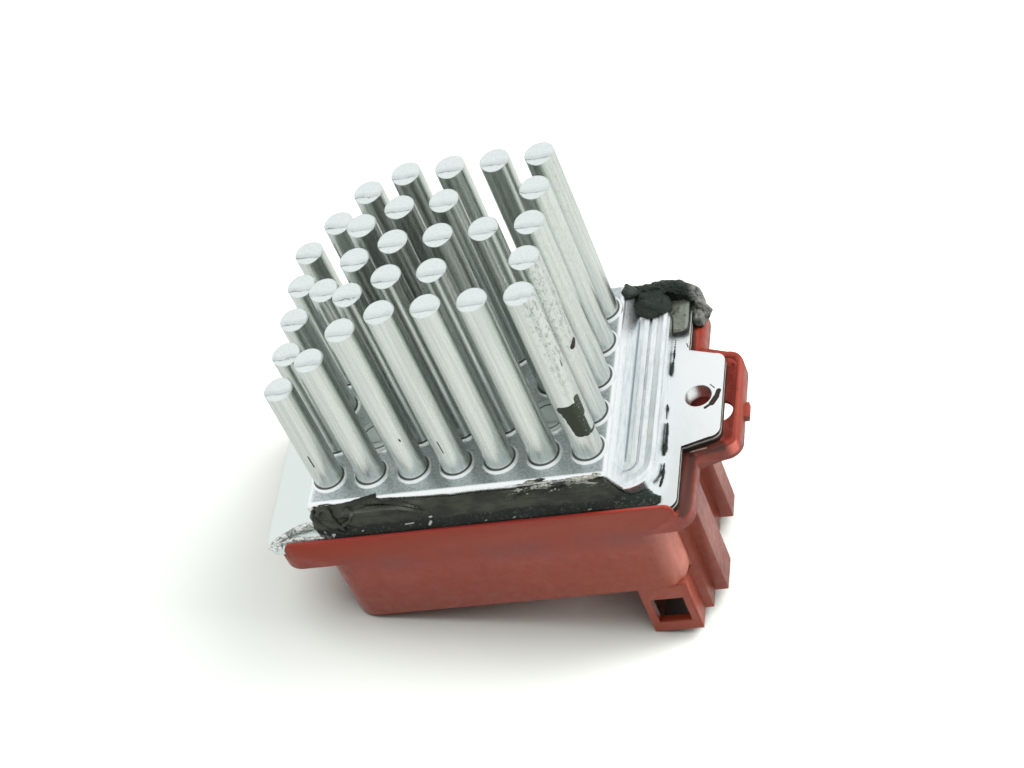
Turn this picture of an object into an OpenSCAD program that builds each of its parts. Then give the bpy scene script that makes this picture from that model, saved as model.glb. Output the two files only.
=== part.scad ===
// Blower motor resistor module: a pin heat sink on a moulded case that holds the
// driver board, with the plug socket under one end. Lengths are in millimetres.
// The frame sits on the axis of the fixing hole, on the top face of the flange.

/* [Heat sink] */
// centre distance of neighbouring pins
pin_pitch = 9; // [8:0.25:12]
// diameter of a pin
pin_d = 6; // [4:0.1:6.6]
// length of the long pins above the raised block
pin_len = 45.4; // [30:0.1:60]
// how much shorter the third column is
short_3 = 3.4; // [0:0.1:8]
// how much shorter the second column is
short_2 = 10.4; // [0:0.1:16]
// how much shorter the first column is
short_1 = 17.4; // [0:0.1:24]
// edge break on a pin end
pin_break = 0.35; // [0.1:0.05:0.8]
// depth of the crease in a sheared pin end
shear = 0.4; // [0.1:0.05:0.8]
// width of the ring at the foot of a pin
ring_w = 0.8; // [0.3:0.05:1]
// height of the ring at the foot of a pin
ring_h = 0.35; // [0.1:0.05:0.8]
// diameter of the low pad where a pin is left out
pad_d = 9.2; // [6:0.1:10]
// height of that pad
pad_h = 0.45; // [0.1:0.05:1]
// block margin outside the pin rows at the ends
margin_x = 1; // [0.6:0.1:3]
// width of the flange beside the long sides of the block
seat_w = 3; // [2:0.1:4]
// height of the raised block above the flange
block_h = 8.8; // [6:0.1:14]
// edge rounding of the raised block
block_r = 0.8; // [0.3:0.1:1]
// run of the leaning block wall beside the bank
lean = 2; // [0.5:0.1:3]
// width of the ribbed bank beside the block
bank_w = 6.3; // [5:0.1:9]
// height of the ribbed bank above the flange
bank_h = 4.4; // [3:0.1:6]
// depth of the groove between the two ribs
bank_groove = 0.5; // [0.2:0.1:1]

/* [Flange] */
// flange length
flange_l = 85.4; // [80:0.1:110]
// flange width
flange_w = 55; // [50:0.1:70]
// flange thickness
flange_t = 2.2; // [1.5:0.1:4]
// flange corner radius
flange_r = 2.5; // [1:0.1:5]
// fixing lug width at its root
lug_w = 24.9; // [18:0.1:32]
// how much narrower the lug is at its tip
lug_taper = 3.4; // [0:0.1:6]
// metal outside the hole centre at the tip of the lug
lug_edge = 4.95; // [4.5:0.05:8]
// distance of the hole centre from the flange end
lug_hole_out = 2.7; // [2:0.1:8]
// fixing hole diameter
hole_d = 5.5; // [4:0.1:6.5]
// depth of the collar under the fixing hole
collar_h = 1.4; // [0.5:0.1:2]
// wall of that collar
collar_w = 1.25; // [0.8:0.05:2]
// lug corner radius
lug_r = 2.2; // [1:0.1:4]

/* [Sealant] */
// radius of the ridge behind the bank
ridge_r = 1.3; // [0.8:0.1:1.6]
// radius of the lump on the bank
lump_r = 1.7; // [1:0.1:2.5]
// length of the pad on the back corner
corner_pad_l = 10.4; // [6:0.1:14]
// thickness of that pad
corner_pad_t = 1.6; // [0.8:0.1:2.5]

/* [Case] */
// how far the heat sink lies off the middle of the case
case_shift = 1.9; // [0:0.1:2.4]
// length of the case rim beyond the flange length
rim_more = 0.8; // [0.4:0.1:3]
// gap between flange side and case lip
lip_gap = 0.2; // [0.1:0.05:0.5]
// thickness of the lip
lip_t = 0.7; // [0.5:0.05:1.5]
// height of the lip above the flange top
lip_up = 1.5; // [0.5:0.1:3]
// rim height
rim_h = 4.2; // [3:0.1:8]
// rim corner radius
rim_r = 4.5; // [3:0.1:6]
// length of the box under the rim
box_l = 71.4; // [66:0.1:80]
// box centre off the rim centre
box_off = 1.8; // [0:0.1:3]
// depth of the box under the rim
box_h = 17.7; // [16.5:0.1:24]
// box corner radius
box_r = 5; // [2:0.1:6]
// wall thickness of the case
wall = 1.6; // [1.2:0.1:2.5]
// floor thickness of the case
floor_t = 1.8; // [1.2:0.1:3]
// width of the ledge inside the long sides of the rim
ledge_w = 4.4; // [4:0.1:6]
// width of the seal groove
groove_w = 1.6; // [1:0.1:2]
// depth of the seal groove
groove_h = 1; // [0.5:0.1:1.5]

/* [Case lug] */
// case lug width at its root
case_lug_w = 28; // [24:0.1:34]
// how much narrower the case lug is at its tip
case_lug_taper = 3.4; // [0:0.1:6]
// reach of the case lug beyond the rim
case_lug_out = 8.6; // [8:0.1:14]
// how far the case lug lies off the middle
case_lug_y = 0.5; // [0:0.1:2]
// case lug corner radius
case_lug_r = 3.6; // [1:0.1:5]
// edge rounding of the case lug and of the rim ends
rim_soft = 1.5; // [0.5:0.1:2]
// width of the raised edge round the lug recess
case_lug_lip = 1.4; // [1:0.1:3]
// floor thickness of the lug recess
case_lug_floor = 1.2; // [0.8:0.1:2]
// clearance hole diameter in the case lug
case_hole_d = 5.8; // [5:0.1:6]
// case hole centre off the flange hole
case_hole_x = 2.9; // [2:0.1:3.5]
// half length of the straight side of that hole
case_slot = 3.45; // [3:0.05:5]
// reach of the small nub on the end face of the case lug
nub_out = 0.9; // [0.4:0.1:2]
// length of that nub
nub_l = 3.8; // [2:0.1:6]

/* [Plug socket] */
// socket depth below the box
socket_h = 15.1; // [12:0.1:20]
// outside width of the socket
socket_w = 11.95; // [11:0.05:14]
// outside length of the socket
socket_l = 38.8; // [36:0.1:44]
// set-back of the latch face behind the front of the box
socket_back = 0.5; // [0:0.1:1.5]
// reach of the socket wall beyond the end of the box
socket_out = 0.85; // [0.5:0.05:1.5]
// length of the narrow latch end of the socket
latch_l = 5; // [4:0.1:7]
// how much narrower the latch end is
latch_step = 1.8; // [1:0.1:2.5]
// socket wall thickness
socket_t = 1.6; // [1.2:0.1:2.2]
// thickness of the wall with the latch window
latch_t = 1.8; // [1.2:0.1:2.5]
// width of the latch window
window_w = 6.7; // [4:0.1:7]
// height of the latch window
window_h = 7.7; // [4:0.1:9]
// height of the window above the socket mouth
window_up = 3.1; // [2:0.1:4]
// reach of the outside ribs beyond the socket wall
rib_out = 2.75; // [1:0.05:3]
// width of the front rib
rib_front_w = 7.6; // [4:0.1:9]
// start of the front rib from the latch face
rib_front_at = 9.2; // [8:0.1:12]
// width of the rear rib
rib_rear_w = 5.5; // [4:0.1:8]
// start of the rear rib from the latch face
rib_rear_at = 27.8; // [26:0.1:30]

/* [Terminals] */
// blade width
blade_w = 6.3; // [4.8:0.1:6.3]
// blade thickness
blade_t = 0.8; // [0.5:0.1:1]
// centre distance of the blades
blade_pitch = 7.5; // [6.5:0.1:8]
// first blade from the latch face
blade_at = 10.9; // [10:0.1:12]
// gap between blade ends and socket mouth
blade_in = 5.2; // [4:0.1:8]
// side of a square signal pin
signal_t = 0.64; // [0.5:0.02:1]
// centre distance of the signal pins
signal_pitch = 3; // [2:0.1:4]
// signal pins from the latch face
signal_at = 6.4; // [6:0.1:8]

/* [Driver board] */
// board thickness
board_t = 1.6; // [1:0.1:2.4]
// gap between board edge and case
board_gap = 0.8; // [0.4:0.1:1.5]
// board underside above the case floor
board_up = 12.7; // [12:0.1:14]
// board post diameter
post_d = 6; // [5:0.1:7]
// board screw diameter
screw_d = 2.8; // [2:0.1:3]
// board screw length under the head
screw_l = 9; // [6:0.1:11]

/* [Power parts] */
// metal left above the pocket under the block
pocket_roof = 5; // [4.5:0.1:6]
// pocket length
pocket_l = 56; // [50:0.1:58]
// pocket width
pocket_w = 42; // [36:0.1:44]
// insulator thickness
pad_t = 0.25; // [0.2:0.05:0.5]
// transistor body width
tr_w = 10.4; // [9:0.1:11]
// transistor length with its tab
tr_l = 15.6; // [14:0.1:17]
// transistor body thickness
tr_t = 4.5; // [4:0.1:4.8]
// transistor tab thickness
tr_tab = 1.3; // [1:0.1:1.6]
// transistor offset from the middle
tr_x = 11; // [9.5:0.1:14]
// clamp bar thickness
clamp_t = 1.5; // [1:0.1:2]
// clamp bar width
clamp_w = 6; // [4:0.1:8]
// clamp screw diameter
clamp_d = 4; // [3:0.1:5]

/* [Hidden] */
$fn = 48;
clr = 0.05;
pin_cols = 7;
pin_rows = 5;
grid_x = -(flange_l / 2 + lug_hole_out);
block_l = pin_pitch * (pin_cols - 1) + pin_d + 2 * margin_x;
block_w = flange_w - 2 * seat_w;
flange_b = -flange_t;
rim_l = flange_l + rim_more;
rim_w = flange_w + 2 * (lip_gap + lip_t);
case_x = grid_x + case_shift;
rim_e = case_x + rim_l / 2;
rim_b = flange_b - rim_h;
box_x = case_x + box_off;
box_e = box_x + box_l / 2;
box_b = rim_b - box_h;
cav_l = box_l - 2 * wall;
cav_w = rim_w - 2 * wall;
cav_b = box_b + floor_t;
open_w = rim_w - 2 * ledge_w;
groove_l = cav_l + 1.6;
groove_y = open_w + 1.6;
mouth_z = box_b - socket_h;
socket_e = box_e + socket_out;
socket_s = socket_e - socket_w;
front_y = -rim_w / 2 + socket_back;
blade_x = (socket_s + socket_e) / 2;
tail_w = 4;
board_b = cav_b + board_up;
board_top = board_b + board_t;
board_l = cav_l - 2 * board_gap;
board_w = open_w - 2 * board_gap;
post_x = [box_x - board_l / 2 + post_d / 2 + 0.2, blade_x - blade_w / 2 - post_d / 2 - 1.6];
post_y = board_w / 2 - post_d / 2 - 0.2;
roof_z = block_h - pocket_roof;
tr_top = roof_z - pad_t;
tr_b = tr_top - tr_t;
tr_body_l = tr_l * 0.59;
tr_y = -2.6;
clamp_y = tr_y + tr_body_l / 2;
leg_z = tr_top - tr_t * 0.58;
leg_y = tr_y - 3;
leg_w = 0.8;
leg_t = 0.5;
leg_pitch = 2.54;
leg_end = board_b - 0.8;
cap_r = (board_up - 0.3) / 2;
cap_l = board_up * 1.73;
cap_x = grid_x - cap_l * 1.09;
cap_y = board_w / 2 - cap_r * 1.84;
cap_z = board_b - 0.02 - cap_r;
cap_pitch = 5;
lead_r = 0.35;
lead_end = board_top + 0.8;
film_l = 13;
film_w = 6;
film_h = 10.5;
film_x = grid_x + 12;
film_y = 12;
film_pitch = 10;
shunt_l = 14;
shunt_w = 4;
shunt_t = 1;
shunt_tab = 3;
shunt_drop = 4.5;
shunt_x = grid_x - 2;
shunt_y = -14;
diode_l = 9;
diode_w = 10;
diode_t = 4.4;
diode_x = grid_x + diode_l * 1.9;
diode_y = -diode_w * 0.8;
fuse_r = 2;
fuse_l = 11;
fuse_x = grid_x - 20;
fuse_y = -13;
fuse_z = board_top + fuse_r + 0.2;
fuse_span = fuse_l + 5;
chip_l = 10.3;
chip_w = 7.5;
chip_t = 2.3;
chip_x = grid_x + 20;
chip_y = chip_w * 0.67;
chip_leg = 1.4;
chip_pitch = 1.27;
res_l = 3.2;
res_w = 1.6;
res_t = 0.6;
res_y = leg_y - 5;

// flat rounded rectangle from bars and corner discs
module plate(l, w, r, h) {
    linear_extrude(h) union() {
        square([l - 2 * r, w], center = true);
        square([l, w - 2 * r], center = true);
        for (i = [-1, 1], j = [-1, 1]) translate([i * (l / 2 - r), j * (w / 2 - r)]) circle(r);
    }
}

// tongue that grows from x = 0 outwards with two rounded corners
module tongue(w, taper, out, r, h) {
    tip = w / 2 - taper / 2;
    linear_extrude(h) union() {
        polygon([[-1, -w / 2], [0, -w / 2], [out - r, -tip], [out - r, tip], [0, w / 2], [-1, w / 2]]);
        translate([out - r - 0.6, -tip + r]) square([r + 0.6, 2 * (tip - r)]);
        for (j = [-1, 1]) translate([out - r, j * (tip - r)]) circle(r);
    }
}

// side view of the raised block: rounded top edges, the bank side leaning out
module block_side() {
    union() {
        translate([-block_l / 2, 0]) square([block_l, block_h - block_r]);
        translate([-block_l / 2 + block_r, 0]) square([block_l - 2 * block_r, block_h]);
        for (i = [-1, 1]) translate([i * (block_l / 2 - block_r), block_h - block_r]) circle(block_r);
        polygon([[block_l / 2 - 1, 0], [block_l / 2 + lean, 0], [block_l / 2 + lean, bank_h - 0.3],
            [block_l / 2, block_h - block_r], [block_l / 2 - 1, block_h - block_r]]);
    }
}

// end view of the raised block
module block_end() {
    union() {
        translate([-block_w / 2, 0]) square([block_w, block_h - block_r]);
        translate([-block_w / 2 + block_r, 0]) square([block_w - 2 * block_r, block_h]);
        for (i = [-1, 1]) translate([i * (block_w / 2 - block_r), block_h - block_r]) circle(block_r);
    }
}

// ribbed bank in section, from the block outwards
module bank_side() {
    polygon([[-0.5, 0], [bank_w, 0], [bank_w, bank_h - 0.9], [bank_w - 0.35, bank_h - 0.3],
        [bank_w * 0.83, bank_h], [bank_w * 0.72, bank_h - 0.2], [bank_w * 0.62, bank_h - 0.35],
        [bank_w * 0.45, bank_h - 0.15], [bank_w * 0.44, bank_h - bank_groove - 0.15],
        [bank_w * 0.37, bank_h - bank_groove - 0.15], [bank_w * 0.36, bank_h - 0.1],
        [bank_w * 0.19, bank_h], [bank_w * 0.06, bank_h - 0.15], [0, bank_h - 0.5], [-0.5, bank_h - 0.5]]);
}

// bank with its ends turned round the block corners
module bank() {
    half = block_w / 2 - bank_w;
    translate([block_l / 2 + lean, 0, 0]) {
        translate([0, half, 0]) rotate([90, 0, 0]) linear_extrude(2 * half) bank_side();
        for (j = [-1, 1]) translate([0, j * half, 0]) rotate([0, 0, j > 0 ? 0 : -90])
            rotate_extrude(angle = 90, $fn = 64) intersection() {
                bank_side();
                square([bank_w + 1, bank_h + 1]);
            }
    }
}

// raised block without its pins
module block() {
    intersection() {
        translate([0, block_w / 2, 0]) rotate([90, 0, 0]) linear_extrude(block_w) block_side();
        translate([-block_l / 2 - 1, 0, 0]) rotate([90, 0, 90])
            linear_extrude(block_l + lean + 2) block_end();
    }
}

// flange, lug, block and bank as one solid
module sink_base() {
    translate([grid_x, 0, flange_b]) plate(flange_l, flange_w, flange_r, flange_t);
    translate([grid_x + flange_l / 2, 0, flange_b])
        tongue(lug_w, lug_taper, lug_hole_out + lug_edge, lug_r, flange_t);
    translate([grid_x, 0, -0.5]) plate(block_l - 1, block_w - 1, 1, 1);
    translate([grid_x, 0, 0]) block();
    translate([grid_x, 0, 0]) bank();
}

// one pin with its foot ring and its sheared end, the lip on the front side
module pin(h, deep) {
    r = pin_d / 2;
    difference() {
        union() {
            translate([0, 0, -0.5]) cylinder(r = r, h = h + 0.5 - pin_break);
            translate([0, 0, h - pin_break]) cylinder(r1 = r, r2 = r - pin_break, h = pin_break);
        }
        translate([-r - 1, 0, h]) rotate([90, 0, 90]) linear_extrude(2 * r + 2)
            polygon([[-r - 1, 1], [-r - 1, -deep * 2], [-r * 0.55, -deep * 0.4], [-r * 0.45, -deep],
                [-r * 0.25, -deep * 0.45], [r * 0.3, -deep * 0.1], [r + 1, -deep * 0.6], [r + 1, 1]]);
    }
    translate([0, 0, -0.5]) cylinder(r = r + ring_w, h = ring_h * 0.5 + 0.5);
    translate([0, 0, ring_h * 0.5]) cylinder(r1 = r + ring_w, r2 = r + ring_w * 0.5, h = ring_h * 0.5);
}

// pin heat sink, forged in one piece
module heat_sink() {
    color([0.78, 0.8, 0.78]) difference() {
        union() {
            sink_base();
            for (i = [0 : pin_cols - 1], j = [0 : pin_rows - 1]) {
                off = (i == 1 || i == 5) && (j == 1 || j == 3);
                cut = i == 0 ? short_1 : i == 1 ? short_2 : i == 2 ? short_3 : 0;
                translate([grid_x + (i - 3) * pin_pitch, (j - 2) * pin_pitch, block_h]) {
                    if (off) {
                        translate([0, 0, -0.5]) cylinder(d = pad_d, h = pad_h / 2 + 0.5);
                        translate([0, 0, pad_h / 2]) cylinder(d1 = pad_d, d2 = pad_d - pad_h, h = pad_h / 2);
                    } else pin(pin_len - cut, j == 0 ? shear / 2 : shear);
                }
            }
            translate([0, 0, flange_b - collar_h]) cylinder(r = hole_d / 2 + collar_w, h = collar_h + 1);
        }
        translate([0, 0, flange_b - collar_h - 1]) cylinder(d = hole_d, h = flange_t + collar_h + 2);
        translate([grid_x, 0, flange_b - 1]) plate(pocket_l, pocket_w, 3, roof_z - flange_b + 1);
        translate([grid_x, clamp_y, roof_z - 1]) cylinder(d = clamp_d + 2 * clr, h = pocket_roof - 0.2);
    }
}

// outline of the socket: narrow latch end, wide terminal end
module socket_plan(in) {
    t = in ? socket_t : 0;
    f = in ? latch_t : 0;
    translate([socket_s + t, front_y + f, 0])
        square([socket_w - latch_step - 2 * t, latch_l + 2]);
    translate([socket_s + t, front_y + latch_l + t, 0])
        square([socket_w - 2 * t, socket_l - latch_l - 2 * t]);
}

// bar with both long top edges eased, used to soften an outline
module soft_top(l, w, h, r) {
    arc = [for (a = [0 : 22.5 : 90]) [l / 2 - r + r * cos(a), h - r + r * sin(a)]];
    translate([0, w / 2, 0]) rotate([90, 0, 0]) linear_extrude(w)
        polygon(concat([[-l / 2, -1], [l / 2, -1]], arc,
            [for (k = [len(arc) - 1 : -1 : 0]) [-arc[k][0], arc[k][1]]]));
}

// moulded case with rim, box, lug and plug socket
module case_outside() {
    translate([case_x, 0, rim_b]) intersection() {
        plate(rim_l, rim_w, rim_r, rim_h);
        soft_top(rim_l, rim_w + 2, rim_h, rim_soft);
    }
    translate([rim_e, case_lug_y, rim_b]) intersection() {
        tongue(case_lug_w, case_lug_taper, case_lug_out, case_lug_r, rim_h);
        soft_top(2 * case_lug_out, case_lug_w + 2, rim_h, rim_soft);
    }
    translate([rim_e + case_lug_out - 0.5, -nub_l * 0.68, rim_b]) cube([nub_out + 0.5, nub_l, 1.4]);
    translate([box_x, 0, box_b]) plate(box_l, rim_w, box_r, box_h + 1);
    translate([0, 0, mouth_z]) linear_extrude(rim_b + 1 - mouth_z) socket_plan(false);
    translate([socket_e - 2, front_y + rib_front_at, mouth_z])
        cube([rib_out + 2, rib_front_w, rim_b + 1 - mouth_z]);
    translate([socket_e - 2, front_y + rib_rear_at, mouth_z])
        cube([rib_out + 2, rib_rear_w, rim_b + 1 - mouth_z]);
    for (j = [-1, 1]) lip(j);
}

// lip beside the flange, its ends rounded down to the rim
module lip(j) {
    up = flange_t + lip_up;
    a = -rim_l / 2 + 2.7;
    b = rim_l / 2 - 2.8;
    r = 2;
    translate([case_x, j > 0 ? rim_w / 2 : -rim_w / 2 + lip_t, flange_b - 0.5]) rotate([90, 0, 0])
        linear_extrude(lip_t) union() {
            translate([a + r, 0]) square([b - a - 2 * r, up + 0.5]);
            translate([a, 0]) square([b - a, up + 0.5 - r]);
            translate([a + r, up + 0.5 - r]) circle(r);
            translate([b - r, up + 0.5 - r]) circle(r);
        }
}

module case() {
    color([0.55, 0.25, 0.21]) difference() {
        union() {
            difference() {
                case_outside();
                translate([box_x, 0, cav_b]) plate(cav_l, cav_w, box_r - wall, rim_b - cav_b);
                translate([box_x, 0, rim_b - 1]) plate(cav_l, open_w, box_r - wall, rim_h + 2);
                translate([0, 0, mouth_z - 1]) linear_extrude(socket_h + 1) socket_plan(true);
            }
            for (x = post_x, j = [-1, 1]) translate([x, j * post_y, cav_b - 1])
                cylinder(d = post_d, h = board_up + 1);
        }
        for (x = post_x, j = [-1, 1]) translate([x, j * post_y, board_b - screw_l])
            cylinder(d = screw_d + 2 * clr, h = screw_l + 1);
        translate([0, 0, flange_b - groove_h]) difference() {
            translate([box_x, 0, 0])
                plate(groove_l + 2 * groove_w, groove_y + 2 * groove_w, 3, groove_h + 1);
            translate([box_x, 0, -1]) plate(groove_l, groove_y, 2, groove_h + 3);
        }
        recess();
        translate([case_hole_x, 0, rim_b - 1]) {
            cylinder(d = case_hole_d, h = rim_h + 2);
            translate([-case_hole_d / 2 + 0.1, -case_slot, 0])
                cube([case_hole_d * 0.35, 2 * case_slot, rim_h + 2]);
        }
        translate([socket_s + socket_t + (socket_w - latch_step - 2 * socket_t - window_w) / 2,
            front_y - 1, mouth_z + window_up]) cube([window_w, latch_t + 2, window_h]);
        for (k = [0 : 3]) translate([blade_x - blade_w / 2 - clr,
            front_y + blade_at + k * blade_pitch - blade_t / 2 - clr, box_b - 1])
            cube([blade_w + 2 * clr, blade_t + 2 * clr, floor_t + 2]);
        for (k = [-1, 1]) translate([blade_x + k * signal_pitch / 2 - signal_t / 2 - clr,
            front_y + signal_at - signal_t / 2 - clr, box_b - 1])
            cube([signal_t + 2 * clr, signal_t + 2 * clr, floor_t + 2]);
    }
}

// recess in the top of the case lug, wide enough for the collar of the heat sink
module recess() {
    start = -hole_d / 2 - collar_w - 0.25;
    end = rim_e + case_lug_out - case_lug_lip;
    w = case_lug_w - case_lug_taper - 2 * case_lug_lip;
    translate([(start + end) / 2, case_lug_y, rim_b + case_lug_floor]) plate(end - start, w, 2.5, rim_h);
}

// sealant along the front of the block: place along it, height and reach at each station
module front_sealant() {
    st = [[-1.02, 0.59, 1], [-0.95, 0.88, 0.97], [-0.81, 0.94, 0.97], [-0.69, 1.01, 0.94],
        [-0.52, 1.02, 0.94], [-0.42, 0.93, 0.97], [-0.29, 0.89, 0.97], [-0.16, 0.86, 0.97],
        [0.1, 0.85, 0.94], [0.39, 0.84, 0.97], [0.71, 0.85, 0.97], [0.9, 0.93, 0.94],
        [0.98, 0.86, 0.94], [1.04, 0.45, 0.91], [1.1, 0.2, 0.88], [1.18, 0.16, 0.81],
        [1.24, 0.13, 0.69], [1.28, 0.08, 0.44]];
    n = len(st);
    m = 7;
    wall_y = -block_w / 2;
    reach = seat_w + lip_gap;
    half = block_l / 2;
    pts = [for (s = st) let (x = grid_x + s[0] * half, h = s[1] * block_h, y = wall_y - s[2] * reach,
        back = wall_y + (s[0] > 0.97 ? bank_w * 0.95 : block_r * 2.75)) each [
        [x, back, 0], [x, y, 0], [x, y, min(lip_up * 0.87, h * 0.4)],
        [x, wall_y - s[2] * reach * 0.72, h * 0.42], [x, wall_y - s[2] * reach * 0.45, h * 0.76],
        [x, wall_y - s[2] * reach * 0.15, h], [x, back, h * 0.98]]];
    sides = [for (i = [0 : n - 2], k = [0 : m - 1]) each [
        [i * m + k, (i + 1) * m + k, (i + 1) * m + (k + 1) % m],
        [i * m + k, (i + 1) * m + (k + 1) % m, i * m + (k + 1) % m]]];
    color([0.2, 0.21, 0.19]) difference() {
        polyhedron(pts, concat(sides,
            [[for (k = [0 : m - 1]) k], [for (k = [0 : m - 1]) n * m - 1 - k]]));
        sink_base();
        translate([case_x, 0, rim_b]) plate(rim_l, rim_w, rim_r, rim_h);
        lip(-1);
    }
}

// hull of equal balls
module lump(r, points) {
    hull() for (p = points) translate(p) sphere(r = r, $fn = 16);
}

// sealant left on the back corner: pad on the flange, lump on the bank, ridge behind
module corner_sealant() {
    in = block_l / 2 + lean;
    out = flange_l / 2;
    by = flange_w / 2 - ridge_r;
    fy = block_w / 2 - lump_r;
    pad_w = out - in - bank_w + lump_r;
    color([0.2, 0.21, 0.19]) difference() {
        translate([grid_x, 0, 0]) union() {
            translate([out - pad_w / 2 - 0.2, by - corner_pad_l * 0.43, 0]) {
                plate(pad_w, corner_pad_l, lump_r, corner_pad_t * 0.75);
                plate(pad_w - 2 * ring_h, corner_pad_l - 2 * ring_h, lump_r - ring_h, corner_pad_t);
            }
            lump(lump_r, [[in + lump_r * 0.3, fy - lump_r * 1.3, bank_h * 0.91],
                [in + lump_r * 1.2, fy - lump_r * 1.8, bank_h * 0.91],
                [in + bank_w * 0.52, fy - lump_r * 1.6, bank_h * 0.89],
                [in + bank_w * 0.55, by - lump_r * 0.5, bank_h * 0.91],
                [in, by - lump_r * 0.5, bank_h * 0.95]]);
            lump(ridge_r, [[in - ridge_r * 2.4, by, bank_h],
                [out - ridge_r * 1.3, by, bank_h * 1.04],
                [in - ridge_r * 2.4, by, ridge_r * 1.1],
                [out - ridge_r * 1.2, by, ridge_r * 1.1]]);
            lump(ridge_r * 0.95, [[out - ridge_r * 1.3, by, bank_h],
                [out + ridge_r * 0.7, by, bank_h * 0.55],
                [out + ridge_r, by, flange_b + ridge_r * 0.9], [out - ridge_r, by, ridge_r]]);
            lump(ridge_r * 0.92, [[out + ridge_r * 0.8, by - ridge_r * 3.9, flange_b + ridge_r * 0.85],
                [out + ridge_r * 1.15, by - ridge_r * 3.2, flange_b + ridge_r * 0.85],
                [out + ridge_r, by, flange_b + ridge_r * 0.9],
                [out + ridge_r * 0.5, by, flange_b + ridge_r]]);
            lump(ridge_r * 0.46, [[in - ridge_r * 1.8, by - ridge_r * 3.1, block_h],
                [in - ridge_r, by - ridge_r * 3.6, block_h * 0.95],
                [in - ridge_r * 1.7, by - ridge_r, block_h * 0.9],
                [in, by - ridge_r, bank_h * 1.15]]);
        }
        sink_base();
        translate([case_x, 0, rim_b]) plate(rim_l, rim_w, rim_r, rim_h);
        lip(1);
    }
}

// bead between the flange and the rim
module rim_seal() {
    w = groove_w - clr;
    color([0.12, 0.12, 0.12]) translate([box_x, 0, flange_b - groove_h]) difference() {
        plate(groove_l + 2 * w, groove_y + 2 * w, 3 - clr, groove_h);
        translate([0, 0, -1]) plate(groove_l + 2 * clr, groove_y + 2 * clr, 2 + clr, groove_h + 2);
    }
}

// board hole with its lead clearance
module lead_hole(x, y, r) {
    translate([x, y, board_b - 1]) cylinder(r = r, h = board_t + 2, $fn = 20);
}

module circuit_board() {
    color([0.1, 0.35, 0.18]) difference() {
        translate([box_x, 0, board_b]) plate(board_l, board_w, 1, board_t);
        for (x = post_x, j = [-1, 1]) lead_hole(x, j * post_y, screw_d / 2 + 0.15);
        for (i = [-1, 1], k = [-1 : 1])
            lead_hole(grid_x + i * tr_x + k * leg_pitch, leg_y - leg_t / 2, 0.6);
        for (k = [0 : 3]) translate([blade_x - tail_w / 2 - clr,
            front_y + blade_at + k * blade_pitch - blade_t / 2 - clr, board_b - 1])
            cube([tail_w + 2 * clr, blade_t + 2 * clr, board_t + 2]);
        for (k = [-1, 1]) lead_hole(blade_x + k * signal_pitch / 2, front_y + signal_at, signal_t * 0.75);
        for (k = [-1, 1]) {
            lead_hole(cap_x + cap_l + 2, cap_y + k * cap_pitch / 2, lead_r + 0.1);
            lead_hole(film_x + k * film_pitch / 2, film_y, lead_r + 0.1);
            lead_hole(fuse_x + k * fuse_span / 2, fuse_y, lead_r + 0.1);
        }
        for (k = [0, 1]) translate([shunt_x + k * (shunt_l - shunt_t) - clr,
            shunt_y - shunt_tab / 2 - clr, board_b - 1])
            cube([shunt_t + 2 * clr, shunt_tab + 2 * clr, board_t + 2]);
    }
}

// four self tapping screws that hold the board
module board_screws() {
    color([0.75, 0.75, 0.72]) for (x = post_x, j = [-1, 1]) translate([x, j * post_y, 0]) {
        translate([0, 0, board_top]) difference() {
            cylinder(r1 = screw_d, r2 = screw_d * 0.8, h = 1.8);
            for (a = [0, 90]) rotate([0, 0, a]) translate([-1.5, -0.3, 0.9]) cube([3, 0.6, 2]);
        }
        translate([0, 0, board_top - screw_l + 1]) cylinder(d = screw_d, h = screw_l - 0.5);
        translate([0, 0, board_top - screw_l]) cylinder(d1 = screw_d * 0.4, d2 = screw_d, h = 1.001);
    }
}

// power transistor under the block, its legs bent down to the board
module transistor(x) {
    translate([x, 0, 0]) {
        translate([-tr_w / 2, tr_y, tr_b]) cube([tr_w, tr_body_l, tr_t]);
        difference() {
            translate([-tr_w / 2, tr_y + tr_body_l - 1, tr_top - tr_tab])
                cube([tr_w, tr_l - tr_body_l + 1, tr_tab]);
            translate([0, tr_y + tr_l - 2.8, tr_b]) cylinder(d = 3.6, h = tr_t + 1);
        }
        for (k = [-1 : 1]) translate([k * leg_pitch - leg_w / 2, 0, 0]) {
            translate([0, leg_y - leg_t, leg_z - leg_t])
                cube([leg_w, tr_y - leg_y + leg_t + 0.5, leg_t]);
            translate([0, leg_y - leg_t, leg_end]) cube([leg_w, leg_t, leg_z - leg_end]);
        }
    }
}

module left_transistor() { color([0.13, 0.13, 0.14]) transistor(grid_x - tr_x); }
module right_transistor() { color([0.13, 0.13, 0.14]) transistor(grid_x + tr_x); }

// thin insulating pad between transistor and block
module insulator(x) {
    translate([x - tr_w / 2 - 1.2, tr_y - 1.2, tr_top]) cube([tr_w + 2.4, tr_l + 2.4, pad_t]);
}

module left_insulator() { color([0.75, 0.72, 0.68]) insulator(grid_x - tr_x); }
module right_insulator() { color([0.75, 0.72, 0.68]) insulator(grid_x + tr_x); }

// spring bar that presses both transistors against the block
module clamp_bar() {
    l = 2 * tr_x + tr_w * 0.9;
    color([0.7, 0.72, 0.74]) difference() {
        translate([grid_x - l / 2, clamp_y - clamp_w / 2, tr_b - clamp_t]) cube([l, clamp_w, clamp_t]);
        translate([grid_x, clamp_y, tr_b - clamp_t - 1]) cylinder(d = clamp_d + 0.4, h = clamp_t + 2);
    }
}

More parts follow.
